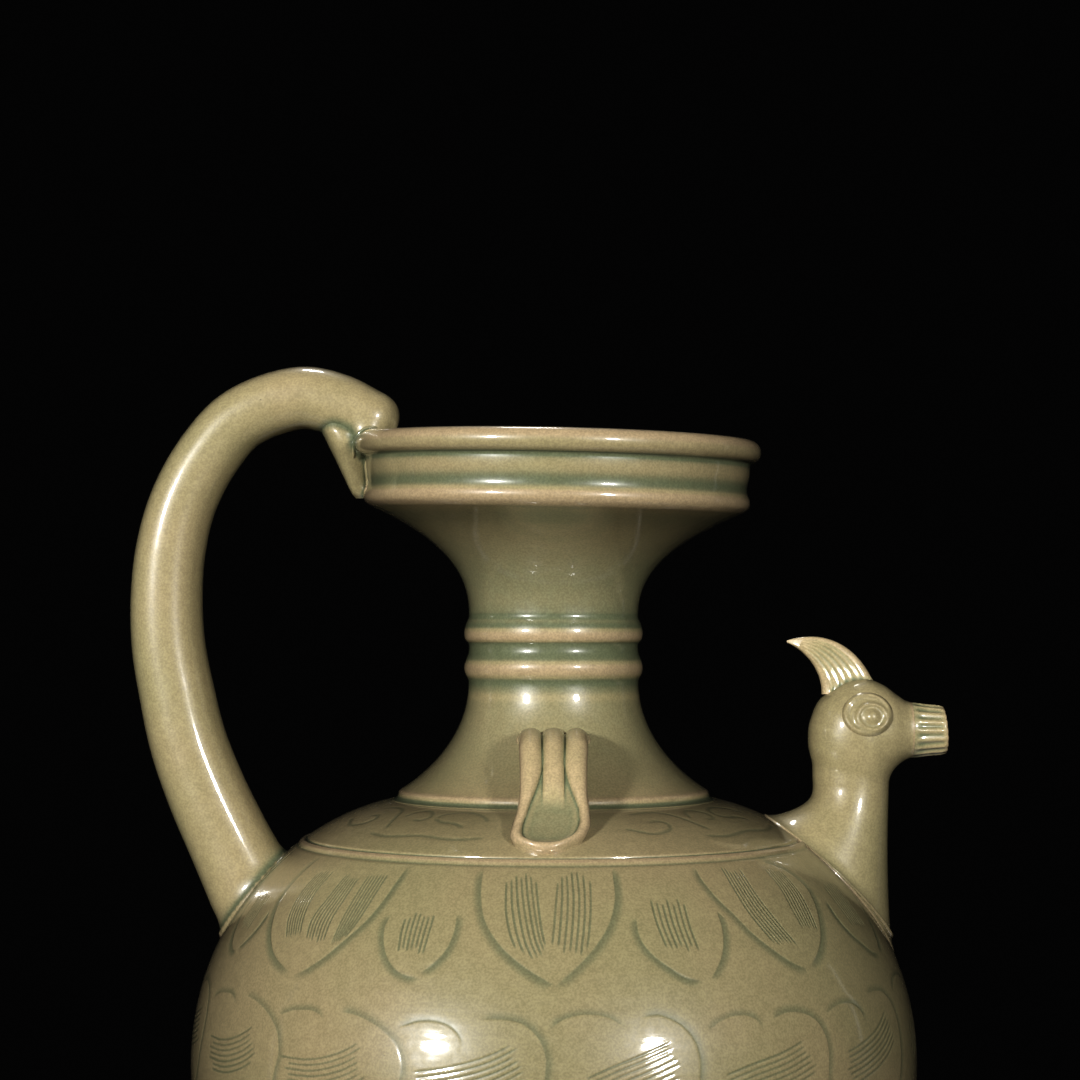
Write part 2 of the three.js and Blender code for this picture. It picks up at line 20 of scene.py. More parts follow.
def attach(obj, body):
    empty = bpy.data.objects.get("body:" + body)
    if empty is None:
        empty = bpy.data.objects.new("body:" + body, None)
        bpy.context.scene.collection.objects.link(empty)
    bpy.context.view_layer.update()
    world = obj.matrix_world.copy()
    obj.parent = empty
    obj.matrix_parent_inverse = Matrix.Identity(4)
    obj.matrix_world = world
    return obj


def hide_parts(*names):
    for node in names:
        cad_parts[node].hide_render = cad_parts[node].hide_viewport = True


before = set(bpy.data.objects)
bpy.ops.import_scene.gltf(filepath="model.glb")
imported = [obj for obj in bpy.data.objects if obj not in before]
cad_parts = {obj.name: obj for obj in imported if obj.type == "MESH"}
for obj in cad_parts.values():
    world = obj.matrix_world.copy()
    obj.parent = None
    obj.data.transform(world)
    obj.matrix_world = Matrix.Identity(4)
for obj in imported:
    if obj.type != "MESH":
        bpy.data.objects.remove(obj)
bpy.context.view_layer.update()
hand = random.Random(17)

# %% [markdown]
# The camera stands about 62 cm in front of the ewer, at the height of its neck, and looks very slightly
# up. A long lens keeps the form from swelling. It is set first, because everything is judged from here.

# %% Camera
camera_data = bpy.data.cameras.new("camera")
camera_data.lens = 78
camera_data.sensor_width = 36
camera = bpy.data.objects.new("camera", camera_data)
camera.location = (0, -0.618, 0.203)
camera.rotation_euler = (math.radians(92.45), 0, math.radians(0.33))
bpy.context.scene.collection.objects.link(camera)
bpy.context.scene.camera = camera
print("camera at", tuple(round(v, 3) for v in camera.location))

# %% [markdown]
# Nodes are wired by small sums. A Value stands for one output of a node, and adding or multiplying
# Values adds the Math nodes that do it. The same class serves the glaze and the Geometry Nodes, so a
# rule reads the same in both places.

# %% Nodes as sums
class Value:
    """One output of a node, ready for a sum."""

    def __init__(self, tree, node, socket):
        self.tree = tree
        self.node = node
        self.socket = socket

    def out(self, name):
        return Value(self.tree, self.node, self.node.outputs[name])

    def math(self, operation, *others):
        return self.tree.add("ShaderNodeMath", {"operation": operation}, [self, *others])

    def __add__(self, other):
        return self.math("ADD", other)

    def __sub__(self, other):
        return self.math("SUBTRACT", other)

    def __mul__(self, other):
        return self.math("MULTIPLY", other)

    def __truediv__(self, other):
        return self.math("DIVIDE", other)

    def __pow__(self, other):
        return self.math("POWER", other)

    def __rsub__(self, other):
        return self.tree.add("ShaderNodeMath", {"operation": "SUBTRACT"}, [other, self])

    __radd__ = __add__
    __rmul__ = __mul__

    def eased(self, low, high):
        return self.tree.add(
            "ShaderNodeMapRange",
            {"interpolation_type": "SMOOTHSTEP"},
            {"Value": self, "From Min": low, "From Max": high},
        )


class Tree:
    """A node tree that is filled by add()."""

    def __init__(self, base):
        self.base = base

    def add(self, kind, settings=None, inputs=None, output=0):
        node = self.base.nodes.new(kind)
        for name, value in (settings or {}).items():
            setattr(node, name, value)
        pairs = inputs.items() if isinstance(inputs, dict) else enumerate(inputs or [])
        for name, value in pairs:
            if isinstance(value, Value):
                self.base.links.new(value.socket, node.inputs[name])
            else:
                node.inputs[name].default_value = value
        return Value(self, node, node.outputs[output] if node.outputs else None)

    def vector(self, operation, *values, output=0):
        return self.add("ShaderNodeVectorMath", {"operation": operation}, list(values), output)

    def colour(self, factor, first, second, blend="MIX"):
        settings = {"data_type": "RGBA", "blend_type": blend, "clamp_factor": True}
        return self.add("ShaderNodeMix", settings, {0: factor, 6: first, 7: second}, 2)

    def named(self, name, kind="FLOAT"):
        return self.add("GeometryNodeInputNamedAttribute", {"data_type": kind}, {"Name": name})

    def noise(self, place, scale, detail=2.0):
        return self.add("ShaderNodeTexNoise", None, {"Vector": place, "Scale": scale, "Detail": detail})

    def stored(self, geometry, name, value):
        settings = {"data_type": "FLOAT", "domain": "POINT"}
        inputs = {"Geometry": geometry, "Name": name, "Value": value}
        return self.add("GeometryNodeStoreNamedAttribute", settings, inputs)

    def surface(self, inputs):
        shader = self.add("ShaderNodeBsdfPrincipled", None, inputs)
        self.add("ShaderNodeOutputMaterial", None, {"Surface": shader})


# %% [markdown]
# The glaze is one material with two moods. Where the form is hollow it is deep and blue-green, where the
# form turns sharply it is thin and the warm clay shows through. A point attribute called pool says which,
# in millimetres of hollow. Under that lie a slow drift of tone, a fine grain of bubbles, a few iron
# specks and pinholes. Where the surface is seen at a grazing angle the colour is darkened: this is painted
# shade, for the dim edges of each form and the dim cap of the shoulder. A clear coat over a softer base
# gives a crisp highlight with a faint halo. A second version of the glaze, for the lugs, the beak and the
# comb, is thinner all over, because it drains off such small ridged pieces.

# %% The glaze
GLAZE = (0.335, 0.293, 0.155, 1)
GLAZE_WARM = (0.372, 0.304, 0.168, 1)
POOLED = (0.118, 0.142, 0.080, 1)
THIN = (0.432, 0.328, 0.197, 1)
SPECK = (0.060, 0.045, 0.030, 1)
DRIFT, MOTTLE, GRAIN, CELLS = 22.0, 420.0, 1900.0, 210.0  # how fine each pattern is
# Painted shade: how steeply, and how far, the colour darkens where the surface is seen at a grazing angle.
EDGE_SHADE_POWER, EDGE_SHADE_AMOUNT = 2.5, 0.75
GLASS_IOR = 1.5


def new_material(name):
    """An empty material, its tree, and the place of a point on its object."""
    material = bpy.data.materials.new(name)
    material.use_nodes = True
    material.node_tree.nodes.clear()
    tree = Tree(material.node_tree)
    return material, tree, tree.add("ShaderNodeTexCoord").out("Object")


def glaze(name, thinness):
    material, tree, place = new_material(name)
    pool = tree.add("ShaderNodeAttribute", {"attribute_name": "pool"}).out("Fac")
    drift = tree.noise(place, DRIFT, 3.0).eased(0.35, 0.68)
    grain = tree.noise(place, GRAIN, 1.0).eased(0.3, 0.72)
    mottle = tree.noise(place, MOTTLE).eased(0.32, 0.7)
    hollow = (pool + (mottle - 0.5) * 0.02).eased(-0.01, 0.30)
    ridge = (pool * -1.0 + thinness + (mottle - 0.5) * 0.03).eased(0.04, 0.38)
    base = tree.colour(drift, GLAZE, GLAZE_WARM)
    base = tree.colour(hollow * 0.92, base, POOLED)
    base = tree.colour(ridge * 0.85, base, THIN)
    # Painted shade, darker towards the edges of each form as seen from the camera.
    painted_edge_shade = tree.add("ShaderNodeLayerWeight", None, {"Blend": 0.5}).out("Facing") ** EDGE_SHADE_POWER
    shade = (0.83 + grain * 0.26 + mottle * 0.08) * (1 + thinness * 3) * (1.0 - painted_edge_shade * EDGE_SHADE_AMOUNT)
    grey = tree.add("ShaderNodeCombineColor", None, [shade, shade, shade])
    base = tree.colour(1.0, base, grey, "MULTIPLY")
    cells = tree.add("ShaderNodeTexVoronoi", None, {"Vector": place, "Scale": CELLS})
    lucky = tree.add("ShaderNodeSeparateColor", None, [cells.out("Color")])
    speck = (1.0 - cells.eased(0.030, 0.060)) * lucky.eased(0.90, 0.93)
    base = tree.colour(speck * 0.7, base, SPECK)
    dimple = (1.0 - cells.eased(0.0, 0.085)) * lucky.eased(0.88, 0.92)
    height = mottle * 0.12 + grain * 0.10 - dimple
    bump = tree.add("ShaderNodeBump", None, {"Strength": 0.35, "Distance": 0.00006, "Height": height})
    tree.surface({
        "Base Color": base, "Roughness": 0.34 + mottle * 0.08 - hollow * 0.06, "Normal": bump,
        "IOR": GLASS_IOR, "Coat Weight": 1.0, "Coat Roughness": 0.07, "Coat IOR": GLASS_IOR,
    })
    return material


celadon = glaze("celadon_glaze", 0.0)
thin_celadon = glaze("thin_celadon_glaze", 0.08)
print("glazes:", celadon.name, thin_celadon.name)

# %% [markdown]
# The foot is left unglazed, so that the ewer doesn't stick in the kiln. Its clay is grey-brown with a
# rusty flush, coarse to the touch and quite matt.

# %% The bare clay
CLAY = (0.30, 0.215, 0.150, 1)
RUST = (0.36, 0.180, 0.095, 1)
GRIT = (0.12, 0.09, 0.07, 1)


def clay(name):
    material, tree, place = new_material(name)
    flush = tree.noise(place, 38.0, 4.0)
    grit = tree.noise(place, 1500.0)
    base = tree.colour(flush.eased(0.35, 0.65), CLAY, RUST)
    base = tree.colour(grit.eased(0.58, 0.72) * 0.5, base, GRIT)
    bump = tree.add("ShaderNodeBump", None, {"Strength": 0.5, "Distance": 0.0002, "Height": grit})
    tree.surface({"Base Color": base, "Roughness": 0.78 + grit * 0.15, "Normal": bump})
    return material


bare_clay = clay("fired_clay")
print("clay:", bare_clay.name)

# %% [markdown]
# Potters think in outlines. The body is one curve from the neck seam over the shoulder to the widest
# point, and one from there to the foot. Lengths along this line, in millimetres from the neck seam, say
# where each band of carving lies. All shapes are worked out in millimetres and made metres at the end.

# %% Outlines
def bezier(points, steps=400):
    share = np.linspace(0, 1, steps)[:, None]
    start, first, second, end = np.array(points, float)
    pull = 3 * (1 - share) * share * ((1 - share) * first + share * second)
    return (1 - share) ** 3 * start + pull + share ** 3 * end


def unit(vectors):
    return vectors / np.maximum(np.linalg.norm(vectors, axis=-1, keepdims=True), 1e-9)


def lengths_of(line):
    return np.concatenate([[0], np.cumsum(np.linalg.norm(np.diff(line, axis=0), axis=1))])


def read_rows(at, lengths, rows):
    """Rows of numbers that are known at some lengths, read at others."""
    return np.stack([np.interp(at, lengths, rows[:, k]) for k in range(rows.shape[1])], axis=1)


def at_lengths(line, stops):
    return read_rows(stops, lengths_of(line), line)


def hermite(knots, values, slopes, at):
    """A smooth curve through values with given slopes, read at some places."""
    cell = np.clip(np.searchsorted(knots, at, side="right") - 1, 0, len(knots) - 2)
    span = (knots[cell + 1] - knots[cell])[:, None]
    t = (at[:, None] - knots[cell][:, None]) / span
    start = (2 * t ** 3 - 3 * t ** 2 + 1) * values[cell] + (t ** 3 - 2 * t ** 2 + t) * span * slopes[cell]
    end = (3 * t ** 2 - 2 * t ** 3) * values[cell + 1] + (t ** 3 - t ** 2) * span * slopes[cell + 1]
    return start + end


def through(points, step=0.2):
    """A smooth curve through the points, in even steps."""
    points = np.array(points, float)
    time = np.concatenate([[0], np.cumsum(np.linalg.norm(np.diff(points, axis=0), axis=1) ** 0.5)])
    slopes = np.gradient(points, time, axis=0)
    fine = hermite(time, points, slopes, np.linspace(0, time[-1], 40 * len(points)))
    length = lengths_of(fine)[-1]
    return at_lengths(fine, np.linspace(0, length, max(2, int(length / step))))


def facing(line):
    """The outward side of an outline that runs from the top of a form to its foot."""
    along = unit(np.gradient(line, axis=0))
    return np.stack([-along[:, 1], along[:, 0]], axis=1)


def table(rows, at):
    """Reads a smooth curve through a table's rows, at places in its first column."""
    rows = np.array(rows, float)
    x, y = rows[:, 0], rows[:, 1:]
    slope = np.diff(y, axis=0) / np.diff(x)[:, None]
    steady = slope[:-1] * slope[1:] > 0
    mean = 2 * slope[:-1] * slope[1:] / np.where(steady, slope[:-1] + slope[1:], 1)
    slopes = np.vstack([slope[:1], np.where(steady, mean, 0), slope[-1:]])
    return hermite(x, y, slopes, np.clip(np.asarray(at, float), x[0], x[-1]))


def smoothstep(low, high, value):
    share = np.clip((value - low) / (high - low), 0, 1)
    return share * share * (3 - 2 * share)


shoulder_curve = bezier([(42.5, 161.3), (69.38, 156.08), (94, 129.34), (94, 95)])
belly_curve = bezier([(94, 95), (94, 60.2), (64.96, 34.1), (50, 8)])
body_line = np.vstack([shoulder_curve, belly_curve[1:]])
body_length = lengths_of(body_line)[-1]
print("the body's outline is", round(body_length, 1), "mm long")

# %% [markdown]
# Wheel-thrown walls are made by Geometry Nodes, because they follow a rule. A flat grid is rolled round
# the axis: its rows take their places from the points of an outline, its columns share out the angle.
# Before it is rolled, the tree looks straight down on a flat drawing of the knife strokes. Where a stroke
# lies under a point, the point sinks by the stroke's depth there, so the carving is real relief. A faint
# noise, stretched round the wall, stands for the marks of the wheel.

# %% The tree that throws and carves a wall
def group_with(name, sockets):
    group = bpy.data.node_groups.new(name, "GeometryNodeTree")
    group.interface.new_socket("Geometry", in_out="INPUT", socket_type="NodeSocketGeometry")
    group.interface.new_socket("Geometry", in_out="OUTPUT", socket_type="NodeSocketGeometry")
    for label, kind in sockets:
        group.interface.new_socket(label, in_out="INPUT", socket_type="NodeSocket" + kind)
    return group, Tree(group)


def close_group(tree, geometry, material):
    real = tree.add("GeometryNodeRealizeInstances", None, {"Geometry": geometry})
    painted = tree.add("GeometryNodeSetMaterial", None, {"Geometry": real, "Material": material})
    tree.add("NodeGroupOutput", None, [painted])


def throwing_group():
    group, tree = group_with("thrown_wall", [
        ("Outline", "Object"), ("Cuts", "Object"), ("Scratches", "Object"),
        ("Rows", "Int"), ("Columns", "Int"), ("First Angle", "Float"), ("Last Angle", "Float"),
        ("Flat Radius", "Float"), ("Cut Depth", "Float"), ("Scratch Depth", "Float"),
        ("Wheel Marks", "Float"), ("Material", "Material"),
    ])
    given = tree.add("NodeGroupInput")
    rows = given.out("Rows")
    columns = given.out("Columns")
    sheet = tree.add("GeometryNodeMeshGrid", None, {"Vertices X": columns, "Vertices Y": rows})
    index = tree.add("GeometryNodeInputIndex")
    row = index.math("MODULO", rows)
    column = (index / rows).math("FLOOR")

    def source(name):
        return tree.add("GeometryNodeObjectInfo", None, {"Object": given.out(name)}).out("Geometry")

    def from_row(value, kind):
        inputs = {"Geometry": source("Outline"), "Value": value, "Index": row}
        return tree.add("GeometryNodeSampleIndex", {"data_type": kind}, inputs)

    def parts(vector):
        return tree.add("ShaderNodeSeparateXYZ", None, [vector])

    place = parts(from_row(tree.add("GeometryNodeInputPosition"), "FLOAT_VECTOR"))
    outward = parts(from_row(tree.named("outward", "FLOAT_VECTOR"), "FLOAT_VECTOR"))
    length = from_row(tree.named("length"), "FLOAT")
    turn = given.out("Last Angle") - given.out("First Angle")
    angle = given.out("First Angle") + turn * column / (columns - 1)
    above = tree.add("ShaderNodeCombineXYZ", None, [angle * given.out("Flat Radius"), length, 0.01])

    def stroke(name):
        inputs = {
            "Target Geometry": source(name), "Attribute": tree.named("stroke", "FLOAT_VECTOR"),
            "Source Position": above, "Ray Direction": (0, 0, -1), "Ray Length": 0.02,
        }
        hit = tree.add("GeometryNodeRaycast", {"data_type": "FLOAT_VECTOR"}, inputs)
        found = parts(hit.out("Attribute"))
        return hit.out("Is Hit"), found.out("X"), found.out("Y")

    is_cut, across, press = stroke("Cuts")
    slope = (1.0 - across).math("MAXIMUM", 0.0) ** 1.45
    cut = is_cut * press * across.eased(-0.16, 0.05) * slope * given.out("Cut Depth")
    is_line, across, press = stroke("Scratches")
    groove = (1.0 - across * across).math("MAXIMUM", 0.0)
    scratch = is_line * press * groove * given.out("Scratch Depth")
    carved = cut + scratch
    wheel = tree.add("ShaderNodeCombineXYZ", None, [angle * 1.6, length * 420.0, 0.0])
    mark = tree.noise(wheel, 1.0, 1.5) - 0.5
    lift = mark * given.out("Wheel Marks") - carved
    radius = place.out("X") + outward.out("X") * lift
    height = place.out("Z") + outward.out("Z") * lift
    rolled = tree.add("ShaderNodeCombineXYZ", None, [
        radius * angle.math("SINE"), radius * angle.math("COSINE") * -1.0, height,
    ])
    moved = tree.add("GeometryNodeSetPosition", None, {"Geometry": sheet, "Position": rolled})
    close_group(tree, tree.stored(moved, "carved", carved), given.out("Material"))
    return group


throwing = throwing_group()
print("thrown_wall has", len(throwing.nodes), "nodes")

# %% [markdown]
# A modifier is given its inputs by the sockets' identifiers. The evaluated result is then copied to a
# plain mesh, so that no live modifier is left on a piece.

# %% Running a tree
def mesh_object(name, points, faces, edges=()):
    mesh = bpy.data.meshes.new(name)
    mesh.from_pydata([tuple(p) for p in points], [tuple(e) for e in edges], [tuple(f) for f in faces])
    item = bpy.data.objects.new(name, mesh)
    bpy.context.scene.collection.objects.link(item)
    return item


def run_tree(item, group, values):
    modifier = item.modifiers.new(group.name, "NODES")
    modifier.node_group = group
    for socket in group.interface.items_tree:
        if socket.item_type == "SOCKET" and socket.in_out == "INPUT" and socket.name in values:
            modifier[socket.identifier] = values[socket.name]
    bpy.context.view_layer.update()
    evaluated = item.evaluated_get(bpy.context.evaluated_depsgraph_get())
    made = bpy.data.meshes.new_from_object(evaluated)
    item.modifiers.remove(modifier)
    return made


def drop(item):
    mesh = item.data
    bpy.data.objects.remove(item)
    bpy.data.meshes.remove(mesh)


def read_points(mesh):
    flat = np.zeros(len(mesh.vertices) * 3, np.float32)
    mesh.vertices.foreach_get("co", flat)
    return flat.reshape(-1, 3).astype(float)


def read_values(mesh, name):
    flat = np.zeros(len(mesh.vertices), np.float32)
    if name in mesh.attributes:
        mesh.attributes[name].data.foreach_get("value", flat)
    return flat.astype(float)


def write_values(mesh, name, values):
    """Stores one number, or one vector, for each point."""
    values = np.asarray(values, np.float32)
    kind, part = ("FLOAT_VECTOR", "vector") if values.ndim == 2 else ("FLOAT", "value")
    mesh.attributes.new(name, kind, "POINT").data.foreach_set(part, values.ravel())


# A wall without carving looks down on this empty drawing.
EMPTY = mesh_object("empty_drawing", [(0, 0, -9), (0.001, 0, -9), (0, 0.001, -9)], [(0, 1, 2)])
write_values(EMPTY.data, "stroke", np.zeros((3, 3)))
WHEEL_MARKS = 0.06


def thrown_skin(line, stops, columns, first, last, drawing=None, marks=WHEEL_MARKS):
    """The outside of a wall: places in millimetres and carved depths, as rows by columns."""
    points = at_lengths(line, stops)
    fine = np.linspace(0, lengths_of(line)[-1], 2000)
    side = read_rows(stops, fine, facing(at_lengths(line, fine)))
    flat = np.zeros(len(stops))
    outline = mesh_object("outline", np.stack([points[:, 0], flat, points[:, 1]], axis=1) / 1000, [])
    write_values(outline.data, "outward", np.stack([side[:, 0], flat, side[:, 1]], axis=1))
    write_values(outline.data, "length", np.asarray(stops) / 1000)
    sheet = mesh_object("sheet", [(0, 0, 0)], [])
    drawing = drawing or {}
    made = run_tree(sheet, throwing, {
        "Outline": outline, "Cuts": drawing.get("cuts", EMPTY), "Scratches": drawing.get("lines", EMPTY),
        "Rows": len(stops), "Columns": columns, "First Angle": first, "Last Angle": last,
        "Flat Radius": drawing.get("radius", 80) / 1000, "Cut Depth": drawing.get("cut", 0) / 1000,
        "Scratch Depth": drawing.get("scratch", 0) / 1000, "Wheel Marks": marks / 1000, "Material": celadon,
    })
    points = read_points(made).reshape(columns, len(stops), 3).transpose(1, 0, 2) * 1000
    carved = read_values(made, "carved").reshape(columns, len(stops)).T * 1000
    bpy.data.meshes.remove(made)
    drop(sheet)
    drop(outline)
    return points, carved


sample_skin, sample_depth = thrown_skin(body_line, np.linspace(0, 30, 4), 5, -1.0, 1.0)
print("a sample skin is", sample_skin.shape, "and is carved", float(sample_depth.max()), "mm deep")

# %% [markdown]
# A second small tree finds where the glaze would gather. It blurs the surface and measures how far each
# point lies below or above the blurred one. A third raises ridges along a surface, for the comb and the
# beak: two attributes say how many ridges lie before a point and how strong they are there.

# %% The trees for pools and ridges
def pooling_group():
    group, tree = group_with("glaze_pools", [("Rounds", "Int"), ("Material", "Material")])
    given = tree.add("NodeGroupInput")
    place = tree.add("GeometryNodeInputPosition")
    facing_out = tree.add("GeometryNodeInputNormal")

    def hollow(rounds):
        inputs = {"Value": place, "Iterations": rounds}
        soft = tree.add("GeometryNodeBlurAttribute", {"data_type": "FLOAT_VECTOR"}, inputs)
        return tree.vector("DOT_PRODUCT", tree.vector("SUBTRACT", soft, place), facing_out, output="Value")

    near = hollow(given.out("Rounds"))
    far = hollow(given.out("Rounds") * 3.0)
    pool = (near * 0.7 + far * 0.6) * 1000.0
    close_group(tree, tree.stored(given.out("Geometry"), "pool", pool), given.out("Material"))
    return group


def ridging_group():
    group, tree = group_with("ridges", [("Ridge Height", "Float"), ("Material", "Material")])
    given = tree.add("NodeGroupInput")
    wave = (tree.named("ridge_turns") * (2 * math.pi)).math("COSINE")
    lift = wave * tree.named("ridge_share") * given.out("Ridge Height")
    inputs = {0: tree.add("GeometryNodeInputNormal"), "Scale": lift}
    offset = tree.add("ShaderNodeVectorMath", {"operation": "SCALE"}, inputs)
    moved = tree.add("GeometryNodeSetPosition", None, {"Geometry": given.out("Geometry"), "Offset": offset})
    close_group(tree, moved, given.out("Material"))
    return group


pooling = pooling_group()
ridging = ridging_group()
print("glaze_pools and ridges have", len(pooling.nodes), "and", len(ridging.nodes), "nodes")

# %% [markdown]
# Every piece ends the same way. Its closed mesh gets ridges if it has any, then the glaze finds its
# pools, also along the joints with the pieces beside it, unless the piece brings its own. The result
# becomes a plain mesh with its place in it, and the piece rides on the ewer's one body.

# %% Finishing a piece
made_pieces = {}
JOINT_POOL = 0.3
SHARP_ANGLE = 50


def tree_of(points, faces):
    return BVHTree.FromPolygons([tuple(point) for point in points], faces)


def found_pools(mesh, gain, beside, reach, extra):
    """The measured pools about their middle value, with more along joints and where extra says."""
    found = read_values(mesh, "pool")
    found = gain * (found - np.median(found)) + extra
    places = [Vector(point) for point in read_points(mesh) * 1000]
    for tree in beside:
        off = np.array([tree.find_nearest(place)[3] for place in places])
        found = found + JOINT_POOL * np.clip(1 - off / reach, 0, 1) ** 1.5
    return found.astype(np.float32)


def finish_piece(name, points, faces, material, nodes, values=None, rounds=6, ridge=0.0, normals=None,
                 gain=1.0, beside=(), reach=1.3, extra=0.0):
    item = mesh_object(name, np.asarray(points, float) / 1000, faces)
    values = values or {}
    for label, numbers in values.items():
        write_values(item.data, label, numbers)
    item.data.shade_smooth()
    if ridge:
        item.data = run_tree(item, ridging, {"Ridge Height": ridge / 1000, "Material": material})
    if "pool" in values:
        item.data.materials.append(material)
    else:
        item.data = run_tree(item, pooling, {"Rounds": rounds, "Material": material})
        pools = found_pools(item.data, gain, beside, reach, extra)
        item.data.attributes["pool"].data.foreach_set("value", pools)
    item.data.name = name
    item.data.shade_smooth()
    item.data.set_sharp_from_angle(angle=math.radians(SHARP_ANGLE))
    if normals is not None:
        item.data.normals_split_custom_set(normals)
    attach(item, "root")
    if nodes:
        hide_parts(*nodes)
    made_pieces[name] = sum(len(polygon.vertices) - 2 for polygon in item.data.polygons)
    print(name, "has", made_pieces[name], "triangles")


# %% [markdown]
# A thrown section is a closed shell: its outside in fine rows, then a flat rim, then its inside in
# coarse rows. Neighbouring sections meet without a visible seam, because their outsides were sampled
# one row and column too far, and the normals at the edge come from that larger sheet.

# %% Shells
def grid_normals(points):
    return unit(np.cross(np.gradient(points, axis=0), np.gradient(points, axis=1)))


def inside_skin(line, angles):
    radius, height = line[:, :1], line[:, 1:]
    level = np.repeat(height, len(angles), axis=1)
    return np.stack([radius * np.sin(angles), radius * -np.cos(angles), level], axis=2)


def shell(outer, pool, inner, whole):
    """The points, faces, pools and corner normals of a closed wall."""
    if whole:
        outer = outer[:, :-1]
        pool = pool[:, :-1]
        wide = np.concatenate([outer[:, -1:], outer, outer[:, :1]], axis=1)
        normal = grid_normals(wide)[1:-1, 1:-1]
        outer = outer[1:-1]
        pool = pool[1:-1]
    else:
        normal = grid_normals(outer)[1:-1, 1:-1]
        outer = outer[1:-1, 1:-1]
        pool = pool[1:-1, 1:-1]
    rings = np.concatenate([outer, inner])
    rows, columns = rings.shape[:2]
    index = np.arange(rows * columns).reshape(rows, columns)
    below = np.roll(index, -1, axis=0)
    if whole:
        right, below_right = np.roll(index, -1, axis=1), np.roll(below, -1, axis=1)
        quads = np.stack([index, below, below_right, right], axis=2)
    else:
        quads = np.stack([index[:, :-1], below[:, :-1], below[:, 1:], index[:, 1:]], axis=2)
    faces = [tuple(face) for face in quads.reshape(-1, 4).tolist()]
    corner = np.zeros((rows * columns, 3))
    corner[: normal.shape[0] * columns] = normal.reshape(-1, 3)
    is_outer = np.zeros(quads.shape[:2], bool)
    is_outer[: outer.shape[0] - 1] = True
    loop = corner[quads.reshape(-1, 4)] * is_outer.reshape(-1, 1, 1)
    loops = [tuple(n) for n in loop.reshape(-1, 3)]
    if not whole:
        faces.append(tuple(index[:, 0].tolist()))
        faces.append(tuple(index[::-1, -1].tolist()))
        loops += [(0, 0, 0)] * (2 * rows)
    kept = np.zeros((rows, columns))
    kept[: outer.shape[0]] = pool
    return rings.reshape(-1, 3), faces, kept.ravel(), loops


def with_ghosts(stops):
    return np.concatenate([[2 * stops[0] - stops[1]], stops, [2 * stops[-1] - stops[-2]]])


def blurred(values, step, reach, axis=0):
    """A soft blur along one axis, with a reach in the same unit as the step."""
    half = max(1, int(3 * reach / step))
    kernel = np.exp(-0.5 * (np.arange(-half, half + 1) * step / reach) ** 2)
    kernel /= kernel.sum()
    edges = [(0, 0)] * values.ndim
    edges[axis] = (half, half)
    padded = np.pad(values, edges, mode="edge")
    return np.apply_along_axis(lambda row: np.convolve(row, kernel, "valid"), axis, padded)


OUTLINE_STEP = 0.1
HOLLOW_SCALES = [(0.7, 0.6), (0.6, 1.6), (0.4, 3.2)]  # share and reach of each scale of hollows
CUT_POOL, CUT_FULL = 0.26, 0.035
BESIDE_THIN, BESIDE_REACH = 0.8, 0.8


def pool_along(line, stops):
    """Hollows of an outline in millimetres, on a fine and on two broader scales."""
    even = np.arange(0, lengths_of(line)[-1], OUTLINE_STEP)
    fine = at_lengths(line, even)
    side = facing(fine)
    found = sum(
        share * ((blurred(fine, OUTLINE_STEP, reach) - fine) * side).sum(axis=1)
        for share, reach in HOLLOW_SCALES
    )
    return np.interp(stops, even[5:-5], found[5:-5])


def wall_pool(line, stops, carved, column_step, runs):
    """Glaze on a wall: along its outline, in the cuts, thinly beside them, and in listed runs by height."""
    row_step = abs(stops[1] - stops[0])
    soft = blurred(blurred(carved, row_step, BESIDE_REACH), column_step, BESIDE_REACH, axis=1)
    beside = BESIDE_THIN * np.clip(soft - carved, 0, None)
    in_cuts = CUT_POOL * (1 - np.exp(-carved / CUT_FULL))
    height = at_lengths(line, stops)[:, 1:]
    more = np.zeros((1, 1))
    # The listed runs add or take away glaze by height; the mouth's run under the collar's lower ridge is
    # painted shade.
    for at, reach, amount in runs:
        more = more + amount * np.exp(-((height - at) / reach) ** 2)
    return more + pool_along(line, stops)[:, None] + in_cuts - beside


def thrown_piece(name, line, stops, inner_line, columns, nodes, sector=None, drawing=None, lean=None,
                 marks=WHEEL_MARKS, runs=()):
    whole = sector is None
    first, last = sector or (-math.pi, math.pi)
    step = (last - first) / (columns - (0 if whole else 1))
    edge = 0 if whole else step
    count = columns + (1 if whole else 2)
    rows = with_ghosts(stops)
    outer, carved = thrown_skin(line, rows, count, first - edge, last + edge, drawing, marks)
    pool = wall_pool(line, rows, carved, step * float(at_lengths(line, stops)[:, 0].mean()), runs)
    angles = first + np.arange(columns) * step
    inner = inside_skin(np.asarray(inner_line, float), angles)
    if lean is not None:
        outer, inner = lean(outer), lean(inner)
    points, faces, pools, loops = shell(outer, pool, inner, whole)
    finish_piece(name, points, faces, celadon, nodes, {"pool": pools}, normals=loops)


print("walls carry wheel marks of", WHEEL_MARKS, "mm")

# %% [markdown]
# The carving is drawn flat, as on a sheet wrapped round the jar: angle across, length along the outline
# down. A half-knife cut is steep on the petal's side and slopes away outside it, and the glaze gathers
# there in a soft green band. Each cut is a strip that knows how far a point is across it and how hard the
# hand pressed. The comb's lines are narrow grooves, drawn in groups between a first and a last line.

# %% The knife and the comb
STRIP_STEP = 0.6
LEVEL_STEP = 0.002
COMB_TEETH, COMB_HALF, COMB_RAGGED = 7, 0.38, 1.6


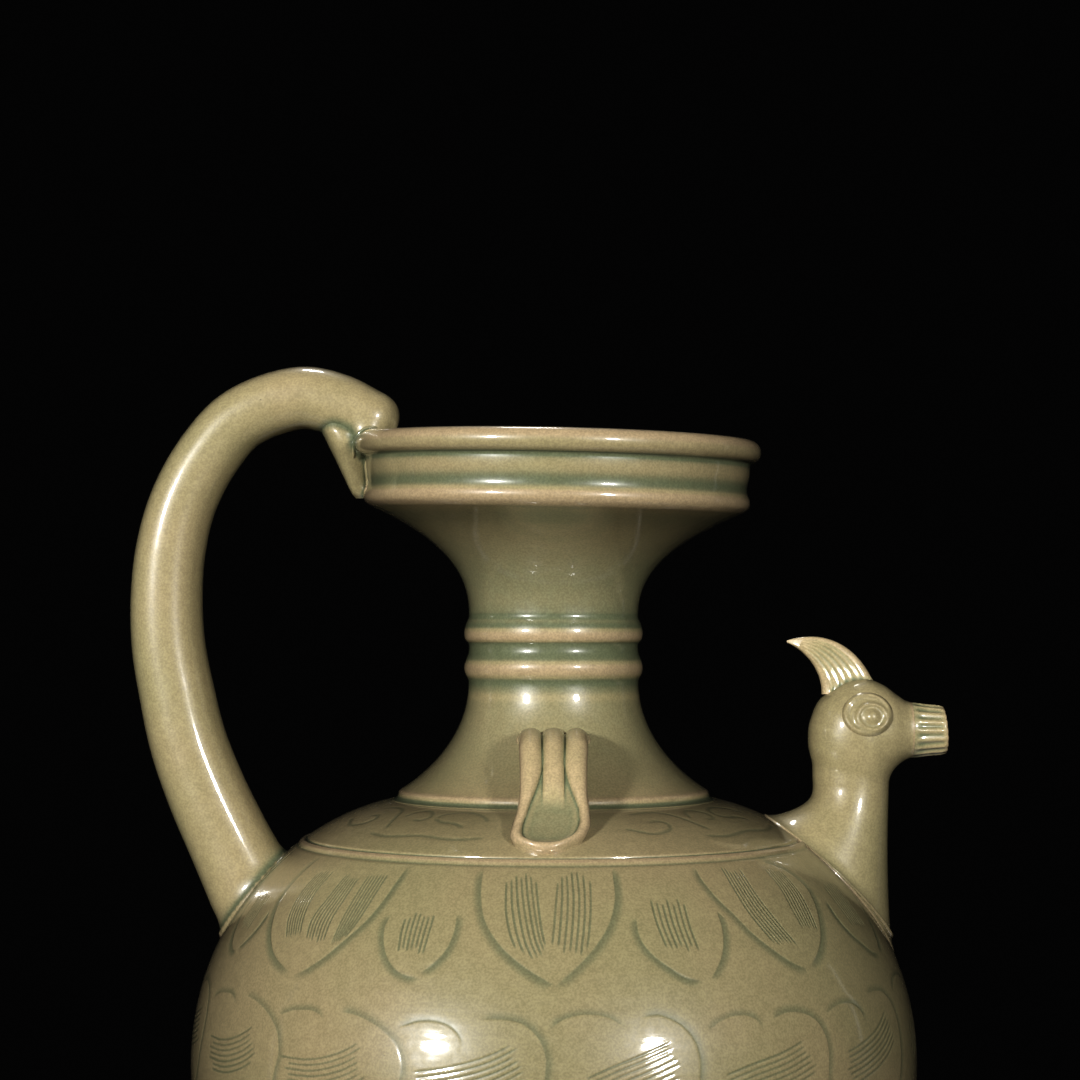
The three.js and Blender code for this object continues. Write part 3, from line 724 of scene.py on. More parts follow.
class Drawing:
    """Flat strips that stand for the strokes of a knife or a comb."""

    def __init__(self, radius):
        self.radius = radius
        self.points = []
        self.faces = []
        self.strokes = []
        self.level = 0.0

    def strip(self, line, offsets, acrosses, press):
        """Lays a strip along a line of angles and lengths, a little above the last one."""
        flat = np.stack([np.radians(line[:, 0]) * self.radius, line[:, 1]], axis=1)
        length = lengths_of(flat)[-1]
        flat = at_lengths(flat, np.linspace(0, length, max(6, int(length / STRIP_STEP))))
        along = unit(np.gradient(flat, axis=0))
        side = np.stack([along[:, 1], -along[:, 0]], axis=1)
        force = press(np.linspace(0, 1, len(flat)))
        self.level += LEVEL_STEP
        start, width = len(self.points), len(offsets)
        for k in range(len(flat)):
            for offset, across in zip(offsets, acrosses):
                x, y = flat[k] + side[k] * offset
                self.points.append((x / 1000, y / 1000, self.level / 1000))
                self.strokes.append((across, force[k], 0))
        for k in range(len(flat) - 1):
            for a in range(start + k * width, start + (k + 1) * width - 1):
                self.faces.append((a, a + 1, a + width + 1, a + width))

    def cut(self, line, side, width, lead=0.12, trail=0.16):
        """side is 1 where the slope lies to the right of the stroke's way, seen on the flat sheet."""
        wander = hand.uniform(0, 6)

        def press(share):
            ends = smoothstep(0, lead, share) * (1 - smoothstep(1 - trail, 1, share))
            return ends * (0.9 + 0.1 * np.sin(share * 5 + wander))

        offsets = [side * o for o in (-0.5, -0.2, 0.12, width * 0.33, width * 0.66, width)]
        self.strip(through(line, 0.5), offsets, [-0.17, -0.06, 0.05, 0.33, 0.66, 1.0], press)

    def line(self, line, half, strength=1.0):
        def press(share):
            return strength * smoothstep(0, 0.06, share) * (1 - smoothstep(0.9, 1, share))

        self.strip(through(line, 0.5), [-half, 0, half], [-1, 0, 1], press)

    def comb(self, first, last, middle=None):
        """A comb's lines from the first path over the middle one, if there is one, to the last."""
        paths = []
        for path in (first, middle or first, last):
            path = through(path, 0.5)
            paths.append(at_lengths(path, np.linspace(0, lengths_of(path)[-1], 12)))
        if middle is None:
            paths[1] = (paths[0] + paths[2]) / 2
        for k in range(COMB_TEETH):
            share = k / (COMB_TEETH - 1)
            line = paths[0] * (1 - share) * (1 - 2 * share) + paths[2] * share * (2 * share - 1)
            line = line + paths[1] * 4 * share * (1 - share)
            begin = hand.uniform(0, COMB_RAGGED)
            end = lengths_of(line)[-1] - hand.uniform(0, COMB_RAGGED)
            line = at_lengths(line, np.linspace(begin, end, 12))
            self.line(line, COMB_HALF, 0.8 + hand.uniform(0, 0.35))

    def made(self, name):
        item = mesh_object(name, self.points, self.faces)
        write_values(item.data, "stroke", np.array(self.strokes))
        item.hide_render = True
        return item


print("a comb has", COMB_TEETH, "teeth,", COMB_HALF * 2, "mm wide")

# %% [markdown]
# Eight large petals hang from the ring line, combed in two or three passes of a seven-toothed comb, and a
# smaller one shows between each pair. Each of the front ones leans its own way, as carving by hand does.
# The petals at the back repeat them. A path is a list of angles in degrees and lengths in millimetres.

# %% The petals
petals = Drawing(82)
petal_lines = Drawing(petals.radius)
PETAL_CUT, SMALL_PETAL_CUT = 2.9, 2.5

PETAL_LEFT = {
    "at": -44.6,
    "left": [(-57.6, 28.2), (-58.8, 31.6), (-59.5, 38.9), (-58.6, 45.3), (-56.4, 50.6), (-52.6, 56.1),
             (-48.6, 59.3), (-44.2, 61.2)],
    "right": [(-30.3, 27.8), (-31.0, 34.4), (-31.8, 40.5), (-33.3, 45.8), (-36.2, 51.5), (-39.2, 56.4),
              (-42.6, 60.1), (-45.6, 62.4)],
    "combs": [
        ([(-53.2, 32.3), (-53.8, 39.4), (-52.8, 46.8), (-49.6, 53.6)],
         [(-49.0, 32.0), (-49.6, 38.4), (-48.8, 45.4), (-46.6, 52.6)]),
        ([(-44.3, 32.4), (-45.1, 40.8), (-45.9, 47.0), (-44.5, 53.3)],
         [(-40.7, 32.5), (-40.8, 40.2), (-41.2, 46.8), (-40.5, 53.8)]),
        ([(-38.5, 31.8), (-38.5, 39.1), (-38.7, 46.9), (-38.6, 53.6)],
         [(-34.1, 31.5), (-34.4, 39.1), (-35.2, 46.1), (-37.0, 52.6)]),
    ],
}
PETAL_MIDDLE = {
    "at": -1.0,
    "left": [(-14.0, 27.6), (-13.9, 32.0), (-13.2, 37.8), (-11.6, 44.5), (-8.5, 50.8), (-5.1, 55.2),
             (-2.0, 58.3), (0.5, 60.4), (1.8, 61.3)],
    "right": [(11.8, 27.6), (11.6, 32.0), (11.1, 38.3), (9.4, 45.0), (7.2, 50.0), (4.0, 55.3),
              (0.6, 59.8), (-1.0, 61.4)],
    "combs": [
        ([(-8.9, 32.5), (-8.1, 42.0), (-6.7, 48.9), (-5.4, 52.8)],
         [(-3.4, 31.5), (-2.6, 40.5), (-1.9, 46.8), (-1.2, 51.0)],
         [(-6.4, 29.5), (-5.1, 40.5), (-3.5, 50.0), (-2.0, 54.8)]),
        ([(0.9, 32.0), (0.5, 38.0), (0.1, 45.4), (-0.3, 51.5)],
         [(7.0, 31.0), (6.5, 39.7), (5.9, 46.2), (5.0, 53.4)],
         [(3.5, 28.6), (3.6, 36.9), (3.3, 43.3), (2.4, 54.0)]),
    ],
}
PETAL_RIGHT = {
    "at": 43.6,
    "left": [(29.5, 28.2), (29.3, 32.9), (30.4, 38.7), (32.5, 44.1), (34.8, 49.7), (37.9, 54.5),
             (41.1, 58.1), (45.0, 60.4)],
    "right": [(47.2, 28.2), (52.9, 32.7), (55.3, 38.2), (54.4, 43.3), (52.2, 48.6), (49.5, 53.6),
              (46.8, 56.9), (43.2, 60.2)],
    "combs": [
        ([(35.8, 29.2), (35.5, 37.0), (36.1, 44.5), (39.2, 54.3)],
         [(40.0, 30.1), (39.9, 39.6), (41.2, 46.7), (43.5, 54.2)]),
        ([(47.0, 30.8), (47.3, 37.3), (46.6, 44.6), (46.7, 50.5)],
         [(51.0, 31.8), (51.8, 38.6), (50.9, 46.1), (50.0, 51.5)]),
    ],
}
SMALL_LEFT = {
    "at": -22.8,
    "left": [(-28.7, 43.2), (-29.4, 46.4), (-28.5, 51.3), (-26.5, 55.7), (-24.0, 58.4), (-20.1, 59.4)],
    "right": [(-16.6, 42.3), (-16.3, 47.1), (-17.2, 52.5), (-19.1, 56.1), (-21.0, 58.4)],
    "combs": [
        ([(-25.9, 42.8), (-25.8, 47.8), (-25.2, 53.6)], [(-20.8, 41.6), (-20.8, 47.6), (-21.0, 53.8)]),
    ],
}
SMALL_RIGHT = {
    "at": 21.4,
    "left": [(14.0, 42.8), (13.9, 48.4), (15.2, 52.6), (17.9, 56.4), (20.5, 59.1), (23.6, 60.2)],
    "right": [(29.5, 42.0), (29.3, 46.9), (28.5, 51.3), (27.2, 55.0), (25.2, 58.6), (24.0, 60.2)],
    "combs": [
        ([(17.5, 38.1), (17.5, 44.9), (18.4, 52.6)], [(23.6, 38.4), (23.2, 46.4), (23.6, 53.4)]),
    ],
}


def petal(shape, centre=None, width=PETAL_CUT):
    turn = 0 if centre is None else centre - shape["at"]

    def moved(path):
        return [(angle + turn, length) for angle, length in path]

    petals.cut(moved(shape["left"]), -1, width)
    petals.cut(moved(shape["right"]), 1, width)
    for paths in shape["combs"]:
        petal_lines.comb(*(moved(path) for path in paths))


for shape in (SMALL_LEFT, SMALL_RIGHT):
    petal(shape, width=SMALL_PETAL_CUT)
for k, centre in enumerate((65.7, 110.5, 155.5, 200, 245.5, -67.2)):
    petal((SMALL_RIGHT, SMALL_LEFT)[k % 2], centre + hand.uniform(-0.5, 0.5), SMALL_PETAL_CUT)
for shape in (PETAL_LEFT, PETAL_MIDDLE, PETAL_RIGHT):
    petal(shape)
for k, centre in enumerate((88.0, 133.0, 178.0, 223.0, 268.0)):
    petal((PETAL_MIDDLE, PETAL_LEFT, PETAL_RIGHT)[k % 3], centre + hand.uniform(-0.5, 0.5))
petal(PETAL_LEFT, 268.0 - 360)
petal_cuts_flat = petals.made("petal_cuts")
petal_lines_flat = petal_lines.made("petal_comb_lines")
print("petal cuts:", len(petals.faces), "flat faces; comb lines:", len(petal_lines.faces))

# %% [markdown]
# Below the petals runs a row of sixteen curling leaves. Each is a small hooked arc, a larger lobe that
# sweeps down and back, and a fan of combed lines that rises to the right. Four differ, and take turns.
# The flat sheet starts and ends under the handle, so the leaves near its end are drawn at both ends.

# %% The leaves
leaves = Drawing(93)
leaf_lines = Drawing(leaves.radius)
LOBE_CUT, HOOK_CUT = 2.8, 2.2
LEAF_STEP = 22.5
FAN_DOWN, FAN_ACROSS = 7.4, 1.6  # from a fan's first combed line to its last
LOBE_END = [(-0.3, 82.6), (-1.0, 87), (-2.6, 92), (-5.4, 96.4), (-9.2, 99.8), (-13.4, 101.8)]
LEAVES = [
    {"at": -45.6, "foot": -21.6,
     "hook": [(-45.8, 71.6), (-42.8, 69.4), (-40.4, 68.8), (-38.4, 68.6), (-36.4, 69.6), (-35.4, 72.2)],
     "lobe": [(-33.4, 68.5), (-31.6, 68.2), (-28.4, 69.2), (-25.1, 71.5), (-22.7, 74.6), (-21.6, 79.4)],
     "comb": [(-43.5, 80.2), (-37.1, 79.8), (-31.8, 77.4), (-28.1, 74.0)]},
    {"at": -22.9, "foot": -1.0,
     "hook": [(-23.2, 70.8), (-19.7, 68.9), (-17.3, 68.7), (-15.0, 69.6), (-13.2, 72.4), (-13.3, 76.5)],
     "lobe": [(-11.0, 68.0), (-7.8, 67.7), (-4.6, 68.5), (-2.1, 71.7), (-1.0, 76.0), (-1.0, 79.0)],
     "comb": [(-20.8, 80.6), (-14.4, 78.7), (-9.2, 76.1), (-4.6, 72.2)]},
    {"at": -0.7, "foot": 20.9,
     "hook": [(-0.9, 70.6), (1.1, 67.8), (4.2, 66.5), (7.7, 67.2), (9.8, 69.3), (10.6, 71.8)],
     "lobe": [(12.2, 67.8), (15.0, 67.1), (18.1, 69.1), (20.2, 72.8), (20.9, 77.0), (20.9, 79.6)],
     "comb": [(3.6, 81.4), (8.2, 78.3), (12.7, 75.8), (17.4, 73.0)]},
    {"at": 22.2, "foot": 43.8,
     "hook": [(22.0, 72.0), (24.6, 69.3), (27.8, 68.2), (30.6, 69.3), (32.1, 73.8)],
     "lobe": [(33.2, 70.2), (36.4, 68.7), (39.9, 69.4), (42.4, 71.7), (43.7, 75.5), (43.9, 78.6)],
     "comb": [(24.1, 81.7), (29.3, 79.5), (35.0, 77.6), (40.4, 74.8)]},
]


def leaf(shape, start=None):
    turn = 0 if start is None else start - shape["at"]

    def moved(path, down=0.0, across=0.0):
        return [(angle + turn + across, length + down) for angle, length in path]

    lobe = shape["lobe"] + [(shape["foot"] + angle, length) for angle, length in LOBE_END]
    leaves.cut(moved(lobe), 1, LOBE_CUT, 0.06, 0.3)
    leaves.cut(moved(shape["hook"]), 1, HOOK_CUT, 0.16, 0.3)
    leaf_lines.comb(moved(shape["comb"]), moved(shape["comb"], FAN_DOWN, FAN_ACROSS))


for shape in LEAVES:
    leaf(shape)
for k in range(12):
    start = 44.7 + LEAF_STEP * k + hand.uniform(-0.4, 0.4)
    leaf(LEAVES[(k + 1) % 4], start)
    if start > 240:
        leaf(LEAVES[(k + 1) % 4], start - 360)
leaf_cuts_flat = leaves.made("leaf_cuts")
leaf_lines_flat = leaf_lines.made("leaf_comb_lines")
print("leaf cuts:", len(leaves.faces), "flat faces; comb lines:", len(leaf_lines.faces))

# %% [markdown]
# On the cap of the shoulder, between the neck seam and the ring line, faint cloud scrolls are drawn with
# a blunt point. They hardly break the surface, and the glaze almost fills them.

# %% The cloud scrolls
clouds = Drawing(56)
POINT_HALF = 0.85
SCROLLS = [
    [(18.0, 12.2), (21.9, 14.0), (24.2, 15.1), (27.4, 15.0), (30.8, 13.4), (31.9, 10.9), (30.5, 9.1),
     (27.8, 9.1), (25.6, 10.2)],
    [(22.5, 4.6), (29.5, 3.2), (33.6, 3.6), (36.6, 5.1), (39.0, 8.0), (41.8, 12.7), (43.6, 15.6)],
    [(-35.4, 9.6), (-34.4, 5.4), (-31.0, 3.6), (-26.5, 3.2), (-20.8, 5.6), (-17.8, 9.4)],
    [(-35.4, 8.0), (-31.8, 9.8), (-27.9, 10.2), (-23.5, 12.3)],
    [(-47.8, 8.4), (-46.0, 4.6), (-43.0, 3.4), (-39.6, 4.6), (-38.0, 7.4), (-40.0, 9.6), (-43.0, 9.0)],
    [(-16.0, 16.6), (-24.0, 17.8), (-34.0, 16.8), (-44.0, 18.0), (-52.0, 17.0)],
]
for turn in (-180, -90, 0, 90, 180):
    for path in SCROLLS:
        clouds.line([(angle + turn, length) for angle, length in path], POINT_HALF)
cloud_lines_flat = clouds.made("cloud_lines")
print("cloud lines:", len(clouds.faces), "flat faces")

# %% [markdown]
# The body is cut into sections for its mesh: the cap of the shoulder, the petal band and the leaf band,
# each in two finer front parts and a back one, and the plain lower bowl. The petals' lines run down and
# the leaves' run round, so the petal band has close columns and the leaf band close rows. The ring line
# is a raised thread between two incised ones, and belongs to the outline itself.

# %% The body's sections
RING_AT, RING_HIGH = 25.8, 0.34
INCISED = [(24.35, 0.42), (27.3, 0.16), (108.0, 0.3), (110.4, 0.3)]  # where each line lies, and its depth
INCISED_HALF = 0.32
STEPS_A_MILLIMETRE = 10
WALL = 5.0
CAP_END, BAND_END, LEAF_END = 27.6, 63.0, 106.0  # along the outline, from the neck seam
PETAL_ROWS, LEAF_ROWS, LEAF_COLUMNS = 88, 190, 470


def ringed(line):
    """Adds the raised thread and the incised lines to the body's outline."""
    lengths = lengths_of(line)
    past = lengths - RING_AT
    lift = RING_HIGH * smoothstep(-1.15, -0.55, past) * (1 - smoothstep(0.1, 1.2, past))
    for at, deep in INCISED:
        lift = lift - deep * np.exp(-((lengths - at) / INCISED_HALF) ** 2)
    return line + facing(line) * lift[:, None]


plain_line = at_lengths(body_line, np.arange(0, body_length, 1 / STEPS_A_MILLIMETRE))
ring_line = ringed(plain_line)


def wall_inside(start, end, count):
    """The inside of the body's wall, from its lower edge back up."""
    stops = np.linspace(start, end, count)
    sides = facing(plain_line)
    at = np.clip((stops * STEPS_A_MILLIMETRE).astype(int), 0, len(sides) - 1)
    return (at_lengths(plain_line, stops) - sides[at] * WALL)[::-1]


def degrees(first, last):
    return math.radians(first), math.radians(last)


petal_drawing = {
    "cuts": petal_cuts_flat, "lines": petal_lines_flat, "radius": petals.radius,
    "cut": 0.10, "scratch": 0.09,
}
leaf_drawing = {
    "cuts": leaf_cuts_flat, "lines": leaf_lines_flat, "radius": leaves.radius,
    "cut": 0.065, "scratch": 0.08,
}
cloud_drawing = {"lines": cloud_lines_flat, "radius": clouds.radius, "scratch": 0.06}
cap_stops = np.concatenate([np.linspace(0.2, 23.2, 46), np.linspace(23.35, CAP_END, 29)])
thrown_piece(
    "shoulder_cap", ring_line, cap_stops, wall_inside(0.2, CAP_END, 6), 720, ["upper_belly"],
    drawing=cloud_drawing,
)

# Each sector's name, its first and last angle, and its columns in the petal band.
sectors = [
    ("front_left", degrees(-91, -1.2), 980),
    ("front_right", degrees(-1.2, 88.6), 980),
    ("back", degrees(88.6, 269), 780),
]
for side, sector, columns in sectors:
    thrown_piece(
        "petal_band_" + side, ring_line, np.linspace(CAP_END, BAND_END, PETAL_ROWS),
        wall_inside(CAP_END, BAND_END, 7), columns, ["upper_belly"], sector, petal_drawing,
    )
for side, sector, _ in sectors:
    thrown_piece(
        "leaf_band_" + side, ring_line, np.linspace(BAND_END, LEAF_END, LEAF_ROWS),
        wall_inside(BAND_END, LEAF_END, 8), LEAF_COLUMNS, ["upper_belly", "lower_belly"], sector,
        leaf_drawing,
    )
print("the body has seven carved sections")

# %% [markdown]
# The lower bowl is plain below its two incised lines, and rests on a thick flat base. The base is turned
# like a coin, a little hollow underneath, and carries the scars of the clay pads it was fired on. The
# scars are instances set round a circle by Geometry Nodes.

# %% The lower bowl and the base
def turned(line, columns):
    """A solid turned round the axis from an outline that starts and ends on it."""
    line = np.asarray(line, float)
    angles = np.linspace(0, 2 * math.pi, columns, endpoint=False)
    rings = inside_skin(line[1:-1], angles)
    rows = len(rings)
    points = np.concatenate([rings.reshape(-1, 3), [[0, 0, line[0, 1]], [0, 0, line[-1, 1]]]])
    index = np.arange(rows * columns).reshape(rows, columns)
    right = np.roll(index, -1, axis=1)
    quads = np.stack([index[:-1], index[1:], right[1:], right[:-1]], axis=2).reshape(-1, 4)
    faces = [tuple(face) for face in quads.tolist()]
    faces += [(rows * columns, index[0, k], right[0, k]) for k in range(columns)]
    faces += [(rows * columns + 1, right[-1, k], index[-1, k]) for k in range(columns)]
    return points, faces


bowl_stops = np.concatenate([np.linspace(LEAF_END, 111.4, 34), np.linspace(112.0, body_length - 0.3, 66)])
thrown_piece(
    "lower_bowl", ring_line, bowl_stops, wall_inside(LEAF_END, body_length - 1.2, 10), 480, ["lower_belly"],
    marks=WHEEL_MARKS * 2,
)
base_corner = through([(50, 7.9), (50.05, 5), (50, 2.2), (49.5, 0.9), (48.3, 0.45), (46, 0.4)], 0.4)
base_line = np.vstack([
    [(0, 7.9), (20, 7.9), (44, 7.9), (48, 7.95)], base_corner, [(42, 0.55), (30, 1.0), (12, 1.3), (0, 1.3)],
])
base_points, base_faces = turned(base_line, 192)
finish_piece("fired_base", base_points, base_faces, bare_clay, ["base_disc"], rounds=4)


SCAR_SIZE, SCAR_RING = 2.2, 44.5
SCARS = 9


def scar_group():
    sockets = [("Count", "Int"), ("Radius", "Float"), ("Scar Size", "Float"), ("Material", "Material")]
    group, tree = group_with("pad_scars", sockets)
    given = tree.add("NodeGroupInput")
    inputs = {"Vertices": given.out("Count"), "Radius": given.out("Radius")}
    ring = tree.add("GeometryNodeMeshCircle", None, inputs)
    inputs = {"Radius": given.out("Scar Size"), "Subdivisions": 3}
    lump = tree.add("GeometryNodeMeshIcoSphere", None, inputs)

    def drawn(low, high, seed):
        settings = {"data_type": "FLOAT_VECTOR"}
        return tree.add("FunctionNodeRandomValue", settings, {0: low, 1: high, "Seed": seed})

    size = drawn((0.8, 1.0, 0.16), (1.3, 1.7, 0.2), 5)
    turn = drawn((0, 0, 0), (0, 0, 6.2), 9)
    inputs = {"Points": ring, "Instance": lump, "Scale": size, "Rotation": turn}
    close_group(tree, tree.add("GeometryNodeInstanceOnPoints", None, inputs), given.out("Material"))
    return group


scars = mesh_object("pad_scars", [(0, 0, 0)], [])
scars.data = run_tree(scars, scar_group(), {
    "Count": SCARS, "Radius": SCAR_RING / 1000, "Scar Size": SCAR_SIZE / 1000, "Material": bare_clay,
})
scars.data.transform(Matrix.Translation((0, 0, 0.00045)))
scars.data.shade_smooth()
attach(scars, "root")
print("the base carries", SCARS, "pad scars of", len(scars.data.vertices) // SCARS, "points each")

# %% [markdown]
# The neck rises from a fine crisp edge, carries two soft ribs and opens into the dish mouth, whose thick
# rim is rolled over a crease. On the real ewer the dish leans, lower in front and on the spout's side, so
# the wall above the ribs is tipped both ways about a point inside the neck. Glaze that ran down the wall
# gathered in green bands under the rim, above the ribs and between them. Those runs are placed by height,
# and so is a band of painted shade under the collar's lower ridge.

# %% The neck and the dish mouth
LEAN_RIGHT, LEAN_FORWARD = math.radians(1.3), math.radians(1.9)
LEAN_FROM, LEAN_ABOUT, LEAN_FULL = 198, 205, 238
MOUTH_MARKS = 0.03
# Height, reach and amount of each run of glaze. The run at 235.6 mm is painted shade: it darkens the flare
# under the collar's lower ridge.
MOUTH_RUNS_AND_SHADE = [
    (252.7, 2.3, 0.7), (249.9, 1.4, -0.25), (243.5, 3.0, 0.03), (235.6, 3.0, 0.1), (224, 11, 0.05),
]
NECK_RUNS = [(206.6, 1.3, 0.5), (198.0, 1.1, 0.28), (188.4, 1.0, -0.1), (175, 8, 0.03)]


def lean(points, way=1):
    share = way * smoothstep(LEAN_FROM, LEAN_FULL, points[..., 2])
    right, forward = np.sin(LEAN_RIGHT * share), np.sin(LEAN_FORWARD * share)
    x, y, z = points[..., 0], points[..., 1], points[..., 2] - LEAN_ABOUT
    return np.stack([x + z * right, y - z * forward, LEAN_ABOUT + z - x * right + y * forward], axis=-1)


rim = through([
    (45.8, 245), (45.9, 250.2), (46.6, 253.8), (48.2, 255.7), (50.2, 256.35), (51.9, 256.05),
    (53.0, 255.05), (53.5, 253.6), (53.35, 252.3), (52.75, 251.3), (51.7, 250.55),
], 0.15)
collar = through([
    (51.7, 250.55), (51.0, 250.25), (50.72, 249.8), (50.74, 249.1), (50.72, 248.2), (50.6, 247.0),
    (50.4, 245.8), (50.2, 244.7), (50.1, 243.7), (50.15, 242.7), (50.38, 241.8), (50.75, 240.9),
    (50.92, 240.1), (50.85, 239.3), (50.45, 238.5), (49.8, 237.9), (48.9, 237.3), (47.6, 236.7),
], 0.15)
flare = bezier([(47.6, 236.7), (35.9, 231.3), (22.35, 224.0), (22.35, 210)])
ribs = through([
    (22.35, 210), (22.32, 209.6), (22.42, 208.9), (22.8, 208.0), (23.2, 207.0), (23.45, 206.0),
    (23.58, 204.9), (23.5, 203.9), (23.3, 203.2), (22.95, 202.65), (22.55, 202.2), (22.36, 201.6),
    (22.32, 200.8), (22.38, 200.0), (22.6, 199.2), (22.95, 198.3), (23.3, 197.3), (23.52, 196.5),
    (23.6, 195.8), (23.5, 194.9), (23.2, 193.9), (22.8, 193.2), (22.54, 192.6), (22.44, 192.1),
    (22.41, 191.6), (22.415, 191.1),
], 0.12)
neck_flare = bezier([(22.4, 192), (22.4, 178.3), (32.7, 168.6), (40.0, 164.0)])
neck_flare = neck_flare[neck_flare[:, 1] < 190.8]
seam_edge = through([
    (40.0, 164.0), (40.45, 163.66), (40.7, 163.2), (40.85, 162.6), (41.2, 162.0), (41.8, 161.6),
    (42.5, 161.25), (42.7, 160.9),
], 0.1)
mouth_line = np.vstack([rim, collar[1:], flare[1:], ribs[1:], neck_flare, seam_edge[1:]])
mouth_lengths = lengths_of(mouth_line)
neck_end = float(mouth_lengths[-1])
split_at = float(mouth_lengths[np.argmax(mouth_line[:, 1] < 211)])

bore_up = bezier([(17.2, 211.3), (17.2, 223.5), (31.5, 238.7), (45.8, 245)], 12)[:-1]
thrown_piece(
    "dish_mouth_wall", mouth_line, np.linspace(0.6, split_at, 210), bore_up, 400, ["dish_mouth"],
    lean=lean, marks=MOUTH_MARKS, runs=MOUTH_RUNS_AND_SHADE,
)
bore_neck = [(33.7, 160.6), (27, 165), (20.6, 170.5), (17.4, 177.3), (17.2, 185), (17.2, 210.7)]
thrown_piece(
    "ribbed_neck", mouth_line, np.linspace(split_at, neck_end - 0.2, 190), bore_neck, 360, ["neck"],
    lean=lean, marks=MOUTH_MARKS, runs=NECK_RUNS,
)
print("the neck and mouth follow an outline", round(neck_end, 1), "mm long")

# %% [markdown]
# Pulled and pressed pieces are lofts: rings of points along a path. Where a piece is luted on with slip,
# its rings swell near the surface it meets, which gives the small concave fillet that a wet finger
# leaves. The distance to the jar comes from its outline.

# %% Lofts and luting
ROLL_SIDES = 14
ASKEW = np.array([0.13, 0.31, 0.94])  # no roll runs this way, so it can set a roll's sides


def ring_faces(rows, columns, loop=False):
    index = np.arange(rows * columns).reshape(rows, columns)
    right = np.roll(index, -1, axis=1)
    if loop:
        below = np.roll(index, -1, axis=0)
        quads = np.stack([index, right, np.roll(right, -1, axis=0), below], axis=2)
    else:
        quads = np.stack([index[:-1], right[:-1], right[1:], index[1:]], axis=2)
    return [tuple(face) for face in quads.reshape(-1, 4).tolist()]


def points_outwards(points, faces):
    """The volume's sign tells whether the faces point out."""
    corners = points[np.array([face[:3] for face in faces])]
    return np.einsum("ij,ij->i", corners[:, 0], np.cross(corners[:, 1], corners[:, 2])).sum() > 0


def closed_loft(rings, loop=False):
    """A closed skin over rings: capped at its ends, or joined from the last ring to the first."""
    rows, columns = rings.shape[:2]
    points = rings.reshape(-1, 3)
    faces = ring_faces(rows, columns, loop)
    if not loop:
        points = np.concatenate([points, [rings[0].mean(axis=0), rings[-1].mean(axis=0)]])
        low, high = rows * columns, rows * columns + 1
        last = (rows - 1) * columns
        for k in range(columns):
            after = (k + 1) % columns
            faces.append((low, after, k))
            faces.append((high, last + k, last + after))
    if not points_outwards(points - points.mean(axis=0), faces):
        faces = [face[::-1] for face in faces]
    return points, faces


def section(centres, first, second, half_first, half_second, columns, square=0.92):
    """Rounded sections across a path, as rows by columns."""
    angle = np.linspace(0, 2 * math.pi, columns, endpoint=False)
    cosine = np.sign(np.cos(angle)) * np.abs(np.cos(angle)) ** square
    sine = np.sign(np.sin(angle)) * np.abs(np.sin(angle)) ** square
    out = centres[:, None] + first[:, None] * (half_first[:, None] * cosine)[..., None]
    return out + second[:, None] * (half_second[:, None] * sine)[..., None]


def off_line(points, line):
    """How far points stand off a turned form, given its outline from top to foot."""
    line = at_lengths(line, np.arange(0, lengths_of(line)[-1], 0.4))
    side = facing(line)
    flat = np.stack([np.hypot(points[:, 0], points[:, 1]), points[:, 2]], axis=1)
    off = np.empty(len(flat))
    for start in range(0, len(flat), 4000):
        some = flat[start:start + 4000]
        near = ((some[:, None] - line[None]) ** 2).sum(axis=2).argmin(axis=1)
        off[start:start + 4000] = ((some - line[near]) * side[near]).sum(axis=1)
    return off


def luted(rings, off, reach, spread):
    """Swells each ring where it comes within reach of the surface it is luted to."""
    near = np.clip(1 - off.reshape(rings.shape[:2]) / reach, 0, 1)
    swell = spread * (1 - np.sqrt(1 - near ** 2 * 0.999))
    return rings + unit(rings - rings.mean(axis=1, keepdims=True)) * swell[..., None]


def joint_pool(off, amount, reach):
    """More glaze where points lie close to the surface they are luted to."""
    return amount * np.exp(-(np.maximum(off, 0) / reach) ** 2)


def cord(path, radius, closed=False):
    """A thin roll of slip along a path, tapered at its ends unless it is closed."""
    path = np.asarray(path, float)
    if closed:
        along = unit(np.roll(path, -1, axis=0) - np.roll(path, 1, axis=0))
        size = np.zeros(len(path)) + radius
    else:
        along = unit(np.gradient(path, axis=0))
        size = radius * np.sqrt(np.maximum(1 - np.linspace(-1, 1, len(path)) ** 6, 0.01))
    first = unit(np.cross(along, ASKEW))
    return closed_loft(section(path, first, np.cross(along, first), size, size, ROLL_SIDES, 1.0), closed)


def joined(parts):
    """Several closed meshes as one list of points and faces."""
    points, faces, start = [], [], 0
    for some_points, some_faces in parts:
        points.append(some_points)
        faces += [tuple(k + start for k in face) for face in some_faces]
        start += len(some_points)
    return np.concatenate(points), faces


print("a roll of slip has", ROLL_SIDES, "sides")

# %% [markdown]
# The handle is a pulled strap of nearly round section. It leaves the shoulder thick, bows out past the
# belly, and comes over the rim with a blunt snout, so that it seems to bite the dish. Under the snout a
# tapering tongue grips the outside of the collar, and thin rolls of slip seal the joints.

